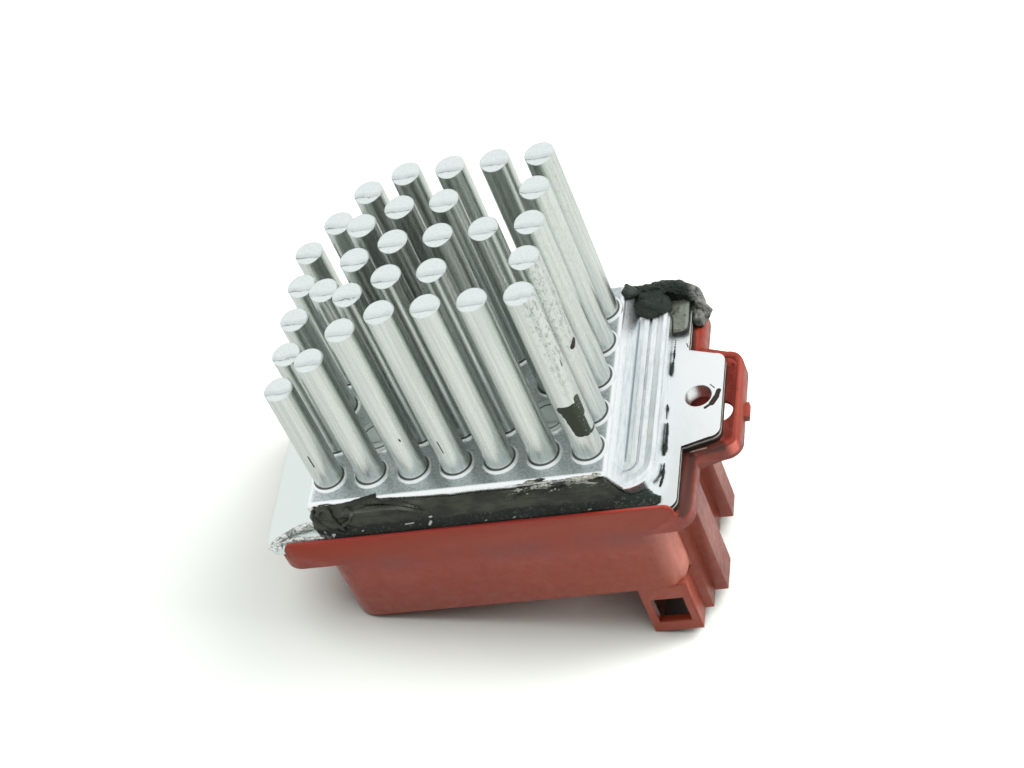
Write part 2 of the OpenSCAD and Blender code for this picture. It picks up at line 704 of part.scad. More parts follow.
module clamp_screw() {
    color([0.72, 0.72, 0.7]) translate([grid_x, clamp_y, 0]) {
        translate([0, 0, tr_b - clamp_t - clamp_d * 0.6]) difference() {
            cylinder(r = clamp_d, h = clamp_d * 0.6);
            for (a = [0, 90]) rotate([0, 0, a]) translate([-2, -0.4, -1]) cube([4, 0.8, 2.2]);
        }
        translate([0, 0, tr_b - clamp_t - 0.01])
            cylinder(d = clamp_d, h = roof_z + pocket_roof - 1.5 - tr_b + clamp_t);
    }
}

// bent strip that measures the motor current
module shunt_resistor() {
    color([0.72, 0.5, 0.36]) translate([shunt_x, shunt_y - shunt_w / 2, 0]) {
        translate([0, 0, board_b - shunt_drop]) cube([shunt_l, shunt_w, shunt_t]);
        for (k = [0, 1]) translate([k * (shunt_l - shunt_t), 0, 0]) {
            translate([0, 0, board_b - shunt_drop]) cube([shunt_t, shunt_w, shunt_drop - 0.05]);
            translate([0, (shunt_w - shunt_tab) / 2, board_b - 1]) cube([shunt_t, shunt_tab, board_t + 1.8]);
        }
    }
}

// wire lead that leaves a part along x and turns up through the board
module bent_lead(x0, x1, y, z) {
    translate([x0, y, z]) rotate([0, 90, 0]) cylinder(r = lead_r, h = x1 - x0 + lead_r * 0.8, $fn = 20);
    translate([x1, y, z - lead_r * 0.8]) cylinder(r = lead_r, h = lead_end - z + lead_r * 0.8, $fn = 20);
}

// round capacitor that lies under the board
module filter_capacitor() {
    color([0.12, 0.16, 0.3]) {
        translate([cap_x, cap_y, cap_z]) rotate([0, 90, 0]) {
            cylinder(r = cap_r, h = cap_l);
            translate([0, 0, -0.4]) cylinder(r1 = cap_r - 0.5, r2 = cap_r, h = 0.4);
        }
        for (k = [-1, 1])
            bent_lead(cap_x + cap_l - 0.5, cap_x + cap_l + 2, cap_y + k * cap_pitch / 2, cap_z);
    }
}

module film_capacitor() {
    color([0.75, 0.6, 0.2]) {
        translate([film_x - film_l / 2, film_y - film_w / 2, board_b - 0.1 - film_h])
            cube([film_l, film_w, film_h]);
        for (k = [-1, 1]) translate([film_x + k * film_pitch / 2, film_y, board_b - 1])
            cylinder(r = lead_r, h = lead_end - board_b + 1, $fn = 20);
    }
}

// diode that carries the motor current when the transistors switch off
module freewheel_diode() {
    color([0.13, 0.13, 0.14]) {
        translate([diode_x, diode_y - diode_w / 2, board_b - 0.1 - diode_t])
            cube([diode_l, diode_w, diode_t]);
        translate([diode_x - 1.6, diode_y - diode_w / 2, board_b - 0.9]) cube([diode_l, diode_w, 0.85]);
        for (k = [-1, 1]) translate([diode_x + diode_l - 0.5, diode_y + k * 2.54 - 0.5, board_b - 0.75])
            cube([2.8, 1, 0.7]);
    }
}

module thermal_fuse() {
    color([0.75, 0.76, 0.74]) {
        translate([fuse_x - fuse_l / 2, fuse_y, fuse_z]) rotate([0, 90, 0]) cylinder(r = fuse_r, h = fuse_l);
        for (k = [-1, 1]) {
            translate([fuse_x + (k > 0 ? 0 : -fuse_span / 2 - lead_r * 0.8), fuse_y, fuse_z])
                rotate([0, 90, 0]) cylinder(r = lead_r, h = fuse_span / 2 + lead_r * 0.8, $fn = 20);
            translate([fuse_x + k * fuse_span / 2, fuse_y, board_b - 0.8])
                cylinder(r = lead_r, h = fuse_z - board_b + 0.8, $fn = 20);
        }
    }
}

module control_chip() {
    color([0.1, 0.1, 0.11]) translate([chip_x, chip_y, board_top]) {
        translate([-chip_l / 2, -chip_w / 2, 0.1]) cube([chip_l, chip_w, chip_t]);
        for (i = [-1, 1], k = [0 : 7]) translate([-chip_l / 2 + 0.5 + k * chip_pitch,
            i > 0 ? chip_w / 2 - 0.2 : -chip_w / 2 - chip_leg, 0]) union() {
                cube([0.42, chip_leg + 0.2, 0.25]);
                translate([0, i > 0 ? 0 : chip_leg - 0.25, 0]) cube([0.42, 0.45, 1.2]);
            }
    }
}

module gate_resistor(x) {
    translate([x - res_l / 2, res_y - res_w / 2, board_top + 0.02]) cube([res_l, res_w, res_t]);
}

module left_gate_resistor() { color([0.12, 0.12, 0.13]) gate_resistor(grid_x - tr_x); }
module right_gate_resistor() { color([0.12, 0.12, 0.13]) gate_resistor(grid_x + tr_x); }

// flat terminal from the board down into the socket
module blade(k) {
    y = front_y + blade_at + k * blade_pitch;
    lo = mouth_z + blade_in;
    color([0.8, 0.78, 0.7]) translate([0, y - blade_t / 2, 0]) {
        translate([blade_x - blade_w / 2, 0, lo + 1]) cube([blade_w, blade_t, board_b - 0.05 - lo - 1]);
        translate([blade_x, blade_t, lo]) rotate([90, 0, 0]) linear_extrude(blade_t)
            polygon([[-blade_w / 2 + 1, 0], [blade_w / 2 - 1, 0],
                [blade_w / 2, 1.001], [-blade_w / 2, 1.001]]);
        translate([blade_x - tail_w / 2, 0, board_b - 1]) cube([tail_w, blade_t, board_t + 1.8]);
    }
}

module supply_blade() { blade(0); }
module ground_blade() { blade(1); }
module motor_plus_blade() { blade(2); }
module motor_minus_blade() { blade(3); }

// square signal pin
module signal_pin(k) {
    color([0.8, 0.78, 0.7]) translate([blade_x + k * signal_pitch / 2 - signal_t / 2,
        front_y + signal_at - signal_t / 2, mouth_z + blade_in + 1])
        cube([signal_t, signal_t, board_top + 0.8 - mouth_z - blade_in - 1]);
}

module control_pin() { signal_pin(-1); }
module sense_pin() { signal_pin(1); }

heat_sink();
case();
front_sealant();
corner_sealant();
rim_seal();
circuit_board();
board_screws();
left_transistor();
right_transistor();
left_insulator();
right_insulator();
clamp_bar();
clamp_screw();
shunt_resistor();
filter_capacitor();
film_capacitor();
freewheel_diode();
thermal_fuse();
control_chip();
left_gate_resistor();
right_gate_resistor();
supply_blade();
ground_blade();
motor_plus_blade();
motor_minus_blade();
control_pin();
sense_pin();
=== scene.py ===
import bpy
import math
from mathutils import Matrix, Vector


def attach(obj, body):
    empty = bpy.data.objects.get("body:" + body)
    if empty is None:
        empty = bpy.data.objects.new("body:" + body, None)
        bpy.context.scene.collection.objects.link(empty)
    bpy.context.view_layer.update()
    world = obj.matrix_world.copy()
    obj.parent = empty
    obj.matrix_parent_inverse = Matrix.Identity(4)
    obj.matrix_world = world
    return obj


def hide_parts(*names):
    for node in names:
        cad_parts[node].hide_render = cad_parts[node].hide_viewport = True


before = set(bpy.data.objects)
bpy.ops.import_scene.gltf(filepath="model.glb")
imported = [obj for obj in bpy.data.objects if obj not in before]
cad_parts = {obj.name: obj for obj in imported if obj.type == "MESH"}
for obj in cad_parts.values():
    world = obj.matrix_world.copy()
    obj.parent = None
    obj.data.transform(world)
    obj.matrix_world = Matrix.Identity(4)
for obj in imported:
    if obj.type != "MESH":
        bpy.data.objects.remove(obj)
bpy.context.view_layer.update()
bpy.ops.object.select_all(action="DESELECT")
mm = 0.001
print("frame loaded:", len(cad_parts), "nodes")


# shader helpers; all places and widths are in mm

def newMaterial(name):
    material = bpy.data.materials.new(name)
    material.use_nodes = True
    tree = material.node_tree
    return material, tree, tree.nodes["Principled BSDF"]


def feed(tree, socket, value):
    if isinstance(value, bpy.types.NodeSocket):
        tree.links.new(value, socket)
    elif value is not None:
        socket.default_value = value


def calc(tree, operation, first, second=None, third=None, clamp=False):
    node = tree.nodes.new("ShaderNodeMath")
    node.operation = operation
    node.use_clamp = clamp
    for i, value in enumerate((first, second, third)):
        feed(tree, node.inputs[i], value)
    return node.outputs[0]


def vecCalc(tree, operation, first, second=None, out=0):
    node = tree.nodes.new("ShaderNodeVectorMath")
    node.operation = operation
    feed(tree, node.inputs[0], first)
    feed(tree, node.inputs[1], second)
    return node.outputs[out]


def diagonal(tree, first, second):  # length of the two sides together
    return calc(tree, "SQRT", calc(tree, "MULTIPLY_ADD", first, first, calc(tree, "MULTIPLY", second, second)))


def ramp(tree, value, low, high, outLow=0.0, outHigh=1.0):  # soft step from low to high
    node = tree.nodes.new("ShaderNodeMapRange")
    node.interpolation_type = "SMOOTHSTEP"
    feed(tree, node.inputs[0], value)
    for i, number in enumerate((low, high, outLow, outHigh)):
        node.inputs[i + 1].default_value = number
    return node.outputs[0]


def blendColor(tree, amount, first, second):
    node = tree.nodes.new("ShaderNodeMix")
    node.data_type = "RGBA"
    feed(tree, node.inputs[0], amount)
    for i, value in ((6, first), (7, second)):
        if isinstance(value, (tuple, list)):
            value = (value[0], value[1], value[2], 1)
        feed(tree, node.inputs[i], value)
    return node.outputs[2]


def grain(tree, place, scale, detail, rough, stretch=None, warp=0.0):  # noise of that many lumps a mm
    if stretch is not None:
        place = vecCalc(tree, "MULTIPLY", place, stretch)
    node = tree.nodes.new("ShaderNodeTexNoise")
    feed(tree, node.inputs["Vector"], place)
    node.inputs["Scale"].default_value = scale
    node.inputs["Detail"].default_value = detail
    node.inputs["Roughness"].default_value = rough
    node.inputs["Distortion"].default_value = warp
    return node.outputs[0]


def inMillimetres(tree):
    place = tree.nodes.new("ShaderNodeTexCoord").outputs["Object"]
    place = vecCalc(tree, "MULTIPLY", place, (1000, 1000, 1000))
    split = tree.nodes.new("ShaderNodeSeparateXYZ")
    feed(tree, split.inputs[0], place)
    return place, split.outputs[0], split.outputs[1], split.outputs[2]


def faceNormal(tree):
    split = tree.nodes.new("ShaderNodeSeparateXYZ")
    feed(tree, split.inputs[0], tree.nodes.new("ShaderNodeNewGeometry").outputs["Normal"])
    return split.outputs


def nearLine(tree, place, start, end, radius, soft):  # 1 near the line from start to end
    start, end = Vector(start), Vector(end)
    along = end - start
    fromStart = vecCalc(tree, "SUBTRACT", place, tuple(start))
    share = vecCalc(tree, "DOT_PRODUCT", fromStart, tuple(along / max(along.length_squared, 1e-9)), out=1)
    share = calc(tree, "MULTIPLY", share, 1.0, clamp=True)
    step = tree.nodes.new("ShaderNodeVectorMath")
    step.operation = "SCALE"
    step.inputs[0].default_value = tuple(along)
    feed(tree, step.inputs["Scale"], share)
    away = vecCalc(tree, "LENGTH", vecCalc(tree, "SUBTRACT", fromStart, step.outputs[0]), out=1)
    return ramp(tree, away, radius + soft, radius - soft)


def anyOf(tree, masks, operation="MAXIMUM"):
    result = masks[0]
    for mask in masks[1:]:
        result = calc(tree, operation, result, mask)
    return result


def allOf(tree, *masks):
    return anyOf(tree, masks, "MULTIPLY")


def between(tree, value, low, high, soft=0.1):  # 1 from low to high
    return allOf(tree, ramp(tree, value, low - soft, low + soft), ramp(tree, value, high + soft, high - soft))


def invert(tree, mask):
    return calc(tree, "SUBTRACT", 1.0, mask)


def relief(tree, shader, height, depth, edge=0.0):  # bump of that depth over edges rounded by that radius
    normal = None
    if edge:
        bevel = tree.nodes.new("ShaderNodeBevel")
        bevel.samples = 4
        bevel.inputs["Radius"].default_value = edge * mm
        normal = bevel.outputs[0]
    bump = tree.nodes.new("ShaderNodeBump")
    bump.inputs["Strength"].default_value = 1.0
    bump.inputs["Distance"].default_value = depth * mm
    feed(tree, bump.inputs["Height"], height)
    feed(tree, bump.inputs["Normal"], normal)
    feed(tree, shader.inputs["Normal"], bump.outputs[0])


# heat sink: drawn aluminium pins on a forged block

sink = {
    "pitch": 9.0, "columnX": -45.4, "pinRadius": 3.0, "ringRadius": 3.8, "pinsHalfDepth": 22.5, "clearOfHole": 3.0,
    "blockTop": 8.8, "bankX": -14.2, "bankAxisX": -12.4, "bankTurnY": -18.2, "bankFootZ": (0.5, 1.0),
    # bands that hold the painted shade in the crease at the pins' feet, the painted shade and rim reflection on the
    # flange edge and the painted pale strip in it
    "footZ": (8.7, 9.35), "edgeZ": (-2.3, -0.06), "stripZ": (-0.75, -0.3),
    # from where a look starts to where it is full; the first three are painted highlights along the rounded border
    # of the block top
    "highlightFront": (-23.6, -24.1), "highlightRight": (-15.6, -14.8), "highlightLeft": (-74.8, -75.8),
    "groovesY": (-21.5, -16), "creasesY": (-17.0, -12.0), "edgeX": (-60, -20), "glintsX": (-17.2, -16.2),
    "spotsX": (-20.5, -18.5), "spotsY": (-2.0, -12.0), "spotsZ": (22, 40), "dullX": (-75.6, -77.5),
    "bare": (0.955, 0.99, 0.995), "dull": (0.78, 0.855, 0.83),
    "mottle": (0.72, 0.79, 0.815), "plateau": (0.61, 0.67, 0.685), "speck": (0.33, 0.395, 0.41),
    # painted shade lines along the bank, in its hollows and where it meets the block: place across it, half width,
    # depth of tone
    "groove": (0.34, 0.42, 0.46),
    "grooves": [(0.1, 0.16, 0.8), (1.35, 0.06, 0.3), (2.75, 0.16, 0.55),
                (4.1, 0.1, 0.35), (5.2, 0.05, 0.25), (6.15, 0.1, 0.5)],
    "pin": (0.745, 0.785, 0.745), "drawn": (0.60, 0.64, 0.605),
    "tip": (0.83, 0.895, 0.88), "tipShade": (0.60, 0.66, 0.655), "crease": (0.05, 0.06, 0.055),
    "spotsAndCreaseShade": (0.16, 0.18, 0.165), "dirtAndEdgeShade": (0.026, 0.020, 0.016), "soot": (0.034, 0.043, 0.029),
    "glint": (0.30, 0.31, 0.28), "pale": (0.55, 0.54, 0.5),
    "rough": (0.24, 0.36), "upRougher": 0.1, "dirtRougher": 0.2, "specular": 0.5, "dirtSpecular": 0.15,
    # depth of each relief before the depth of the bump itself
    "fineDepth": 0.09, "speckleDepth": 0.16, "cloudDepth": 1.2, "blobDepth": 1.8, "creaseDepth": 1.2,
    "bump": 0.09, "edge": 0.26,
    # soot on the front pin of the last column: start, end, half width
    "blob": [((-18.9, -20.95, 24.0), (-16.6, -20.4, 24.0), 1.05),
             ((-15.75, -19.4, 25.6), (-15.8, -19.5, 21.4), 0.75),
             ((-18.0, -20.95, 22.6), (-16.4, -20.3, 22.4), 1.3),
             ((-17.6, -20.9, 21.4), (-17.0, -20.8, 17.2), 1.4),
             ((-16.3, -20.1, 21.5), (-16.2, -20.0, 16.2), 0.9),
             ((-15.8, -19.4, 15.6), (-15.4, -17.6, 15.4), 0.35)],
    # short dark scratches and chips on the pins
    "scratches": [((-72.42, -21.0, 19.4), (-72.36, -21.0, 16.1), 0.13),
                  ((-45.48, -21.0, 19.4), (-45.38, -21.0, 15.9), 0.1),
                  ((-52.88, -20.58, 20.9), (-52.8, -20.54, 20.3), 0.14),
                  ((-15.6, -9.9, 31.1), (-15.9, -10.6, 30.4), 0.68),
                  ((-15.7, -19.3, 36.4), (-15.76, -19.43, 34.9), 0.1),
                  ((-58.5, -15.19, 41.7), (-58.4, -15.1, 40.6), 0.1)],
    # marks on the flange, most of them beside the hole
    "flangeMarks": [((4.1, 0.8, 0), (3.75, -0.7, 0), 0.5), ((3.75, -0.7, 0), (2.9, -2.3, 0), 0.6),
                    ((2.9, -2.3, 0), (1.6, -3.3, 0), 0.3), ((2.3, 2.6, 0), (3.2, 1.6, 0), 0.1),
                    ((-3.3, 14.3, 0), (-2.9, 13.2, 0), 0.1)],
}


def fromNearestPin(tree, x, y):
    offsets = []
    for value, first in ((x, sink["columnX"]), (y, 0.0)):
        turns = calc(tree, "ADD", calc(tree, "DIVIDE", calc(tree, "SUBTRACT", value, first), sink["pitch"]), 0.5)
        turns = calc(tree, "SUBTRACT", calc(tree, "FRACT", turns), 0.5)
        offsets.append(calc(tree, "MULTIPLY", turns, sink["pitch"]))
    return offsets


# painted shade along the lines of the bank, darkest in its hollows
def bankGrooveShade(tree, x, y, mottle):
    # distance across the bank, also round its front end
    beyond = calc(tree, "MINIMUM", calc(tree, "ADD", y, -sink["bankTurnY"]), 0.0)
    across = calc(tree, "ADD", x, -sink["bankAxisX"])
    turned = diagonal(tree, across, beyond)
    across = calc(tree, "MAXIMUM", calc(tree, "MINIMUM", across, 0.0), turned)
    across = calc(tree, "MULTIPLY_ADD", mottle, 0.3, across)
    return anyOf(tree, [calc(tree, "MULTIPLY", between(tree, across, middle - half, middle + half, 0.16), depth)
                        for middle, half, depth in sink["grooves"]])


def aluminium():
    material, tree, shader = newMaterial("drawnAluminium")
    place, x, y, z = inMillimetres(tree)
    normalZ = faceNormal(tree)[2]
    up = ramp(tree, normalZ, 0.6, 0.9)
    flat = ramp(tree, normalZ, 0.95, 0.99)
    pinX, pinY = fromNearestPin(tree, x, y)
    radius = diagonal(tree, pinX, pinY)
    top, pinRadius, ringRadius = sink["blockTop"], sink["pinRadius"], sink["ringRadius"]
    onPin = allOf(tree, ramp(tree, z, top + 0.3, top + 0.5), ramp(tree, radius, pinRadius + 0.3, pinRadius + 0.15))
    onTip = allOf(tree, onPin, up)
    onSide = allOf(tree, onPin, invert(tree, up))
    alongPins = between(tree, y, -sink["pinsHalfDepth"], sink["pinsHalfDepth"])

    streak = grain(tree, place, 1.0, 3, 0.6, stretch=(1.7, 1.7, 0.03))
    fine = grain(tree, place, 1.0, 5, 0.7, stretch=(7, 7, 0.1))
    cloud = grain(tree, place, 0.3, 4, 0.6)
    speckle = grain(tree, place, 2.6, 5, 0.75)
    wave = grain(tree, place, 0.35, 2, 0.5)
    mottle = grain(tree, place, 1.3, 5, 0.7, stretch=(1.0, 0.16, 1.0))
    dust = grain(tree, place, 1.7, 5, 0.8)

    # bare metal, bluish mottling and painted shade lines along the bank, dull left end of the flange
    onBank = allOf(tree, ramp(tree, x, sink["bankX"], sink["bankX"] + 0.6), ramp(tree, z, *sink["bankFootZ"]))
    mottled = allOf(tree, onBank, ramp(tree, mottle, 0.42, 0.66, 0.0, 0.8))
    color = blendColor(tree, mottled, sink["bare"], sink["mottle"])
    grooved = allOf(tree, onBank, bankGrooveShade(tree, x, y, mottle), ramp(tree, y, *sink["groovesY"], 0.3, 1.0))
    color = blendColor(tree, grooved, color, sink["groove"])
    color = blendColor(tree, ramp(tree, x, *sink["dullX"]), color, sink["dull"])

    # speckled top of the block between the pins, darker there partly as painted shade; left bright as painted
    # highlights on the lit side of each foot's ring and along the border
    onPlateau = allOf(tree, between(tree, z, top - 0.4, top + 0.45, 0.05), flat,
                      ramp(tree, x, sink["bankX"] + 0.4, sink["bankX"]))
    ringHighlight = allOf(tree, ramp(tree, radius, ringRadius + 0.15, ringRadius),
                 ramp(tree, calc(tree, "SUBTRACT", pinX, pinY), 0.5, 4.0), alongPins)
    bright = anyOf(tree, [ringHighlight, ramp(tree, y, *sink["highlightFront"]), ramp(tree, x, *sink["highlightRight"]),
                          ramp(tree, x, *sink["highlightLeft"])])
    onPlateau = allOf(tree, onPlateau, invert(tree, bright))
    shadedSpeckle = blendColor(tree, ramp(tree, dust, 0.44, 0.64, 0.0, 0.85), sink["plateau"], sink["speck"])
    color = blendColor(tree, onPlateau, color, shadedSpeckle)

    # drawn sides of the pins
    drawn = blendColor(tree, ramp(tree, streak, 0.4, 0.66, 0.1, 0.85), sink["pin"], sink["drawn"])
    color = blendColor(tree, onSide, color, drawn)

    # sheared tips: pale face with painted shade growing towards the crease, painted shade in the crease line, a
    # bright lip in front of it
    creaseAt = calc(tree, "ADD", pinY, calc(tree, "MULTIPLY_ADD", wave, 1.8, 0.55))
    creased = allOf(tree, between(tree, creaseAt, -0.05, 0.12, 0.1), ramp(tree, y, *sink["creasesY"], 0.25, 0.8),
                    ramp(tree, grain(tree, place, 0.5, 3, 0.6), 0.36, 0.52))
    shaded = allOf(tree, ramp(tree, creaseAt, 1.5, 0.1, 0.0, 0.75), ramp(tree, creaseAt, -0.1, 0.1))
    face = blendColor(tree, shaded, sink["tip"], sink["tipShade"])
    face = blendColor(tree, ramp(tree, speckle, 0.42, 0.66, 0.0, 0.4), face, sink["tipShade"])
    face = blendColor(tree, creased, face, sink["spotsAndCreaseShade"])
    color = blendColor(tree, onTip, color, face)

    # dark speckles on the right half of the last column, towards the front, and a few on the rest
    lastColumn = allOf(tree, ramp(tree, x, *sink["spotsX"]), ramp(tree, z, *sink["spotsZ"]),
                       ramp(tree, y, *sink["spotsY"], 0.25, 1.0), ramp(tree, pinX, 0.0, 1.4))
    spots = grain(tree, place, 1.3, 6, 0.8, stretch=(1, 1, 0.6))
    spots = allOf(tree, ramp(tree, spots, 0.5, 0.6), lastColumn)
    few = ramp(tree, grain(tree, place, 0.8, 5, 0.8, stretch=(1, 1, 0.4)), 0.68, 0.74)
    color = blendColor(tree, allOf(tree, anyOf(tree, [spots, few]), onSide, 0.6), color, sink["spotsAndCreaseShade"])

    # painted shade in the crease round each foot
    footShade = allOf(tree, ramp(tree, radius, pinRadius - 0.15, pinRadius - 0.02),
                 ramp(tree, radius, pinRadius + 0.36, pinRadius + 0.2),
                 between(tree, z, *sink["footZ"], 0.1), alongPins)
    color = blendColor(tree, allOf(tree, footShade, 0.85), color, sink["crease"])

    # flange edges, but not the hole: dark as painted shade of the gap and reflection of the red rim, a thin pale
    # strip of painted light, dark
    fromHole = diagonal(tree, x, y)
    onEdge = allOf(tree, between(tree, z, *sink["edgeZ"], 0.04), invert(tree, up), ramp(tree, x, *sink["edgeX"]),
                   ramp(tree, fromHole, sink["clearOfHole"], sink["clearOfHole"] + 0.3))
    strip = between(tree, calc(tree, "MULTIPLY_ADD", wave, 0.8, z), *sink["stripZ"], 0.12)
    color = blendColor(tree, onEdge, color, sink["dirtAndEdgeShade"])
    color = blendColor(tree, allOf(tree, onEdge, strip, 0.55), color, sink["pale"])

    # blob of soot with a few glints, scratches and chips
    ragged = calc(tree, "MULTIPLY_ADD", grain(tree, place, 1.3, 6, 0.75), 1.3, -0.65)
    burnt = anyOf(tree, [nearLine(tree, place, *line, 0.3) for line in sink["blob"]])
    blob = allOf(tree, ramp(tree, calc(tree, "ADD", burnt, ragged), 0.42, 0.55), ramp(tree, burnt, 0.02, 0.2))
    marks = anyOf(tree, [nearLine(tree, place, *line, 0.09) for line in sink["scratches"] + sink["flangeMarks"]])
    marks = allOf(tree, ramp(tree, marks, 0.25, 0.5), ramp(tree, speckle, 0.1, 0.25))
    dark = anyOf(tree, [blob, marks])
    color = blendColor(tree, dark, color, sink["dirtAndEdgeShade"])
    glints = allOf(tree, ramp(tree, speckle, 0.58, 0.66), ramp(tree, x, *sink["glintsX"]))
    color = blendColor(tree, blob, color, blendColor(tree, glints, sink["soot"], sink["glint"]))
    feed(tree, shader.inputs["Base Color"], color)

    dull = anyOf(tree, [dark, onEdge])
    feed(tree, shader.inputs["Metallic"], invert(tree, dull))
    feed(tree, shader.inputs["Specular IOR Level"], ramp(tree, dull, 0, 1, sink["specular"], sink["dirtSpecular"]))
    rough = calc(tree, "ADD", ramp(tree, fine, 0.3, 0.75, *sink["rough"]),
                 calc(tree, "MULTIPLY", up, sink["upRougher"]))
    feed(tree, shader.inputs["Roughness"], calc(tree, "MULTIPLY_ADD", dull, sink["dirtRougher"], rough))
    height = calc(tree, "MULTIPLY", speckle, sink["speckleDepth"])
    height = calc(tree, "MULTIPLY_ADD", allOf(tree, fine, onSide), sink["fineDepth"], height)
    height = calc(tree, "MULTIPLY_ADD", allOf(tree, cloud, up), sink["cloudDepth"], height)
    height = calc(tree, "MULTIPLY_ADD", blob, sink["blobDepth"], height)
    sunk = allOf(tree, onTip, ramp(tree, creaseAt, 0.2, -0.4))
    height = calc(tree, "MULTIPLY_ADD", sunk, sink["creaseDepth"], height)
    relief(tree, shader, height, sink["bump"], edge=sink["edge"])
    return material


# case: red-brown moulded plastic

caseLook = {
    "body": (0.272, 0.028, 0.010), "faded": (0.295, 0.043, 0.018), "brown": (0.275, 0.042, 0.014),
    "dusk": (0.20, 0.042, 0.034), "grime": (0.10, 0.028, 0.018), "rubbed": (0.36, 0.11, 0.085),
    "edge": (0.31, 0.036, 0.026), "recess": (0.60, 0.12, 0.09), "lug": (0.16, 0.026, 0.017),
    "paintedSideLight": (0.78, 0.33, 0.27), "corner": (0.52, 0.20, 0.155), "socketShade": (0.13, 0.056, 0.044),
    "film": (0.045, 0.018, 0.014), "pale": (0.42, 0.33, 0.29),
    "rimBottom": -6.4, "boxBottom": -24.4, "frontY": -23.3,
    # where each tone lies, or from where it starts to where it is full
    "brownZ": (-8, -24), "beltZ": (-9.5, -4.5), "sideLightX": (-4.4, -3.4), "sideLightZ": (-36, -20),
    "cornerX": (-11.6, -7.0), "rightRimX": (-4.2, -2.4), "lipTopY": (-27.4, -27.8), "lipTopZ": (1.05, 1.35),
    "socketX": (-15.9, -7.9), "socketY": (-26.4, 9.6),
    "recessX": (3.6, 7.6), "recessY": (-11.5, 12.5), "recessZ": (-5.5, -2.6),
    "rough": (0.33, 0.50), "specular": 0.32, "poreDepth": 0.02, "rounding": 0.75,
    # dark brown film on the rim beside the flange, and along the recess of the lug: start, end, half width
    "films": [((-1.6, -26.8, -2.2), (-1.6, -13.2, -2.2), 1.5), ((-2.2, -12.6, -2.2), (4.6, -11.2, -2.6), 1.1),
              ((5.3, -11.2, -4.5), (5.3, 11.5, -4.5), 0.5), ((-2.4, 13.5, -2.2), (-2.4, 26.0, -2.2), 0.3)],
    "streaks": [((-1.4, -12.35, -2.2), (1.8, -11.75, -2.2), 0.12)],
    "dots": [((-0.9, 17.8, -2.2), (-0.9, 17.6, -2.2), 0.45), ((7.4, 2.75, -2.2), (7.4, 2.5, -2.2), 0.35)],
}


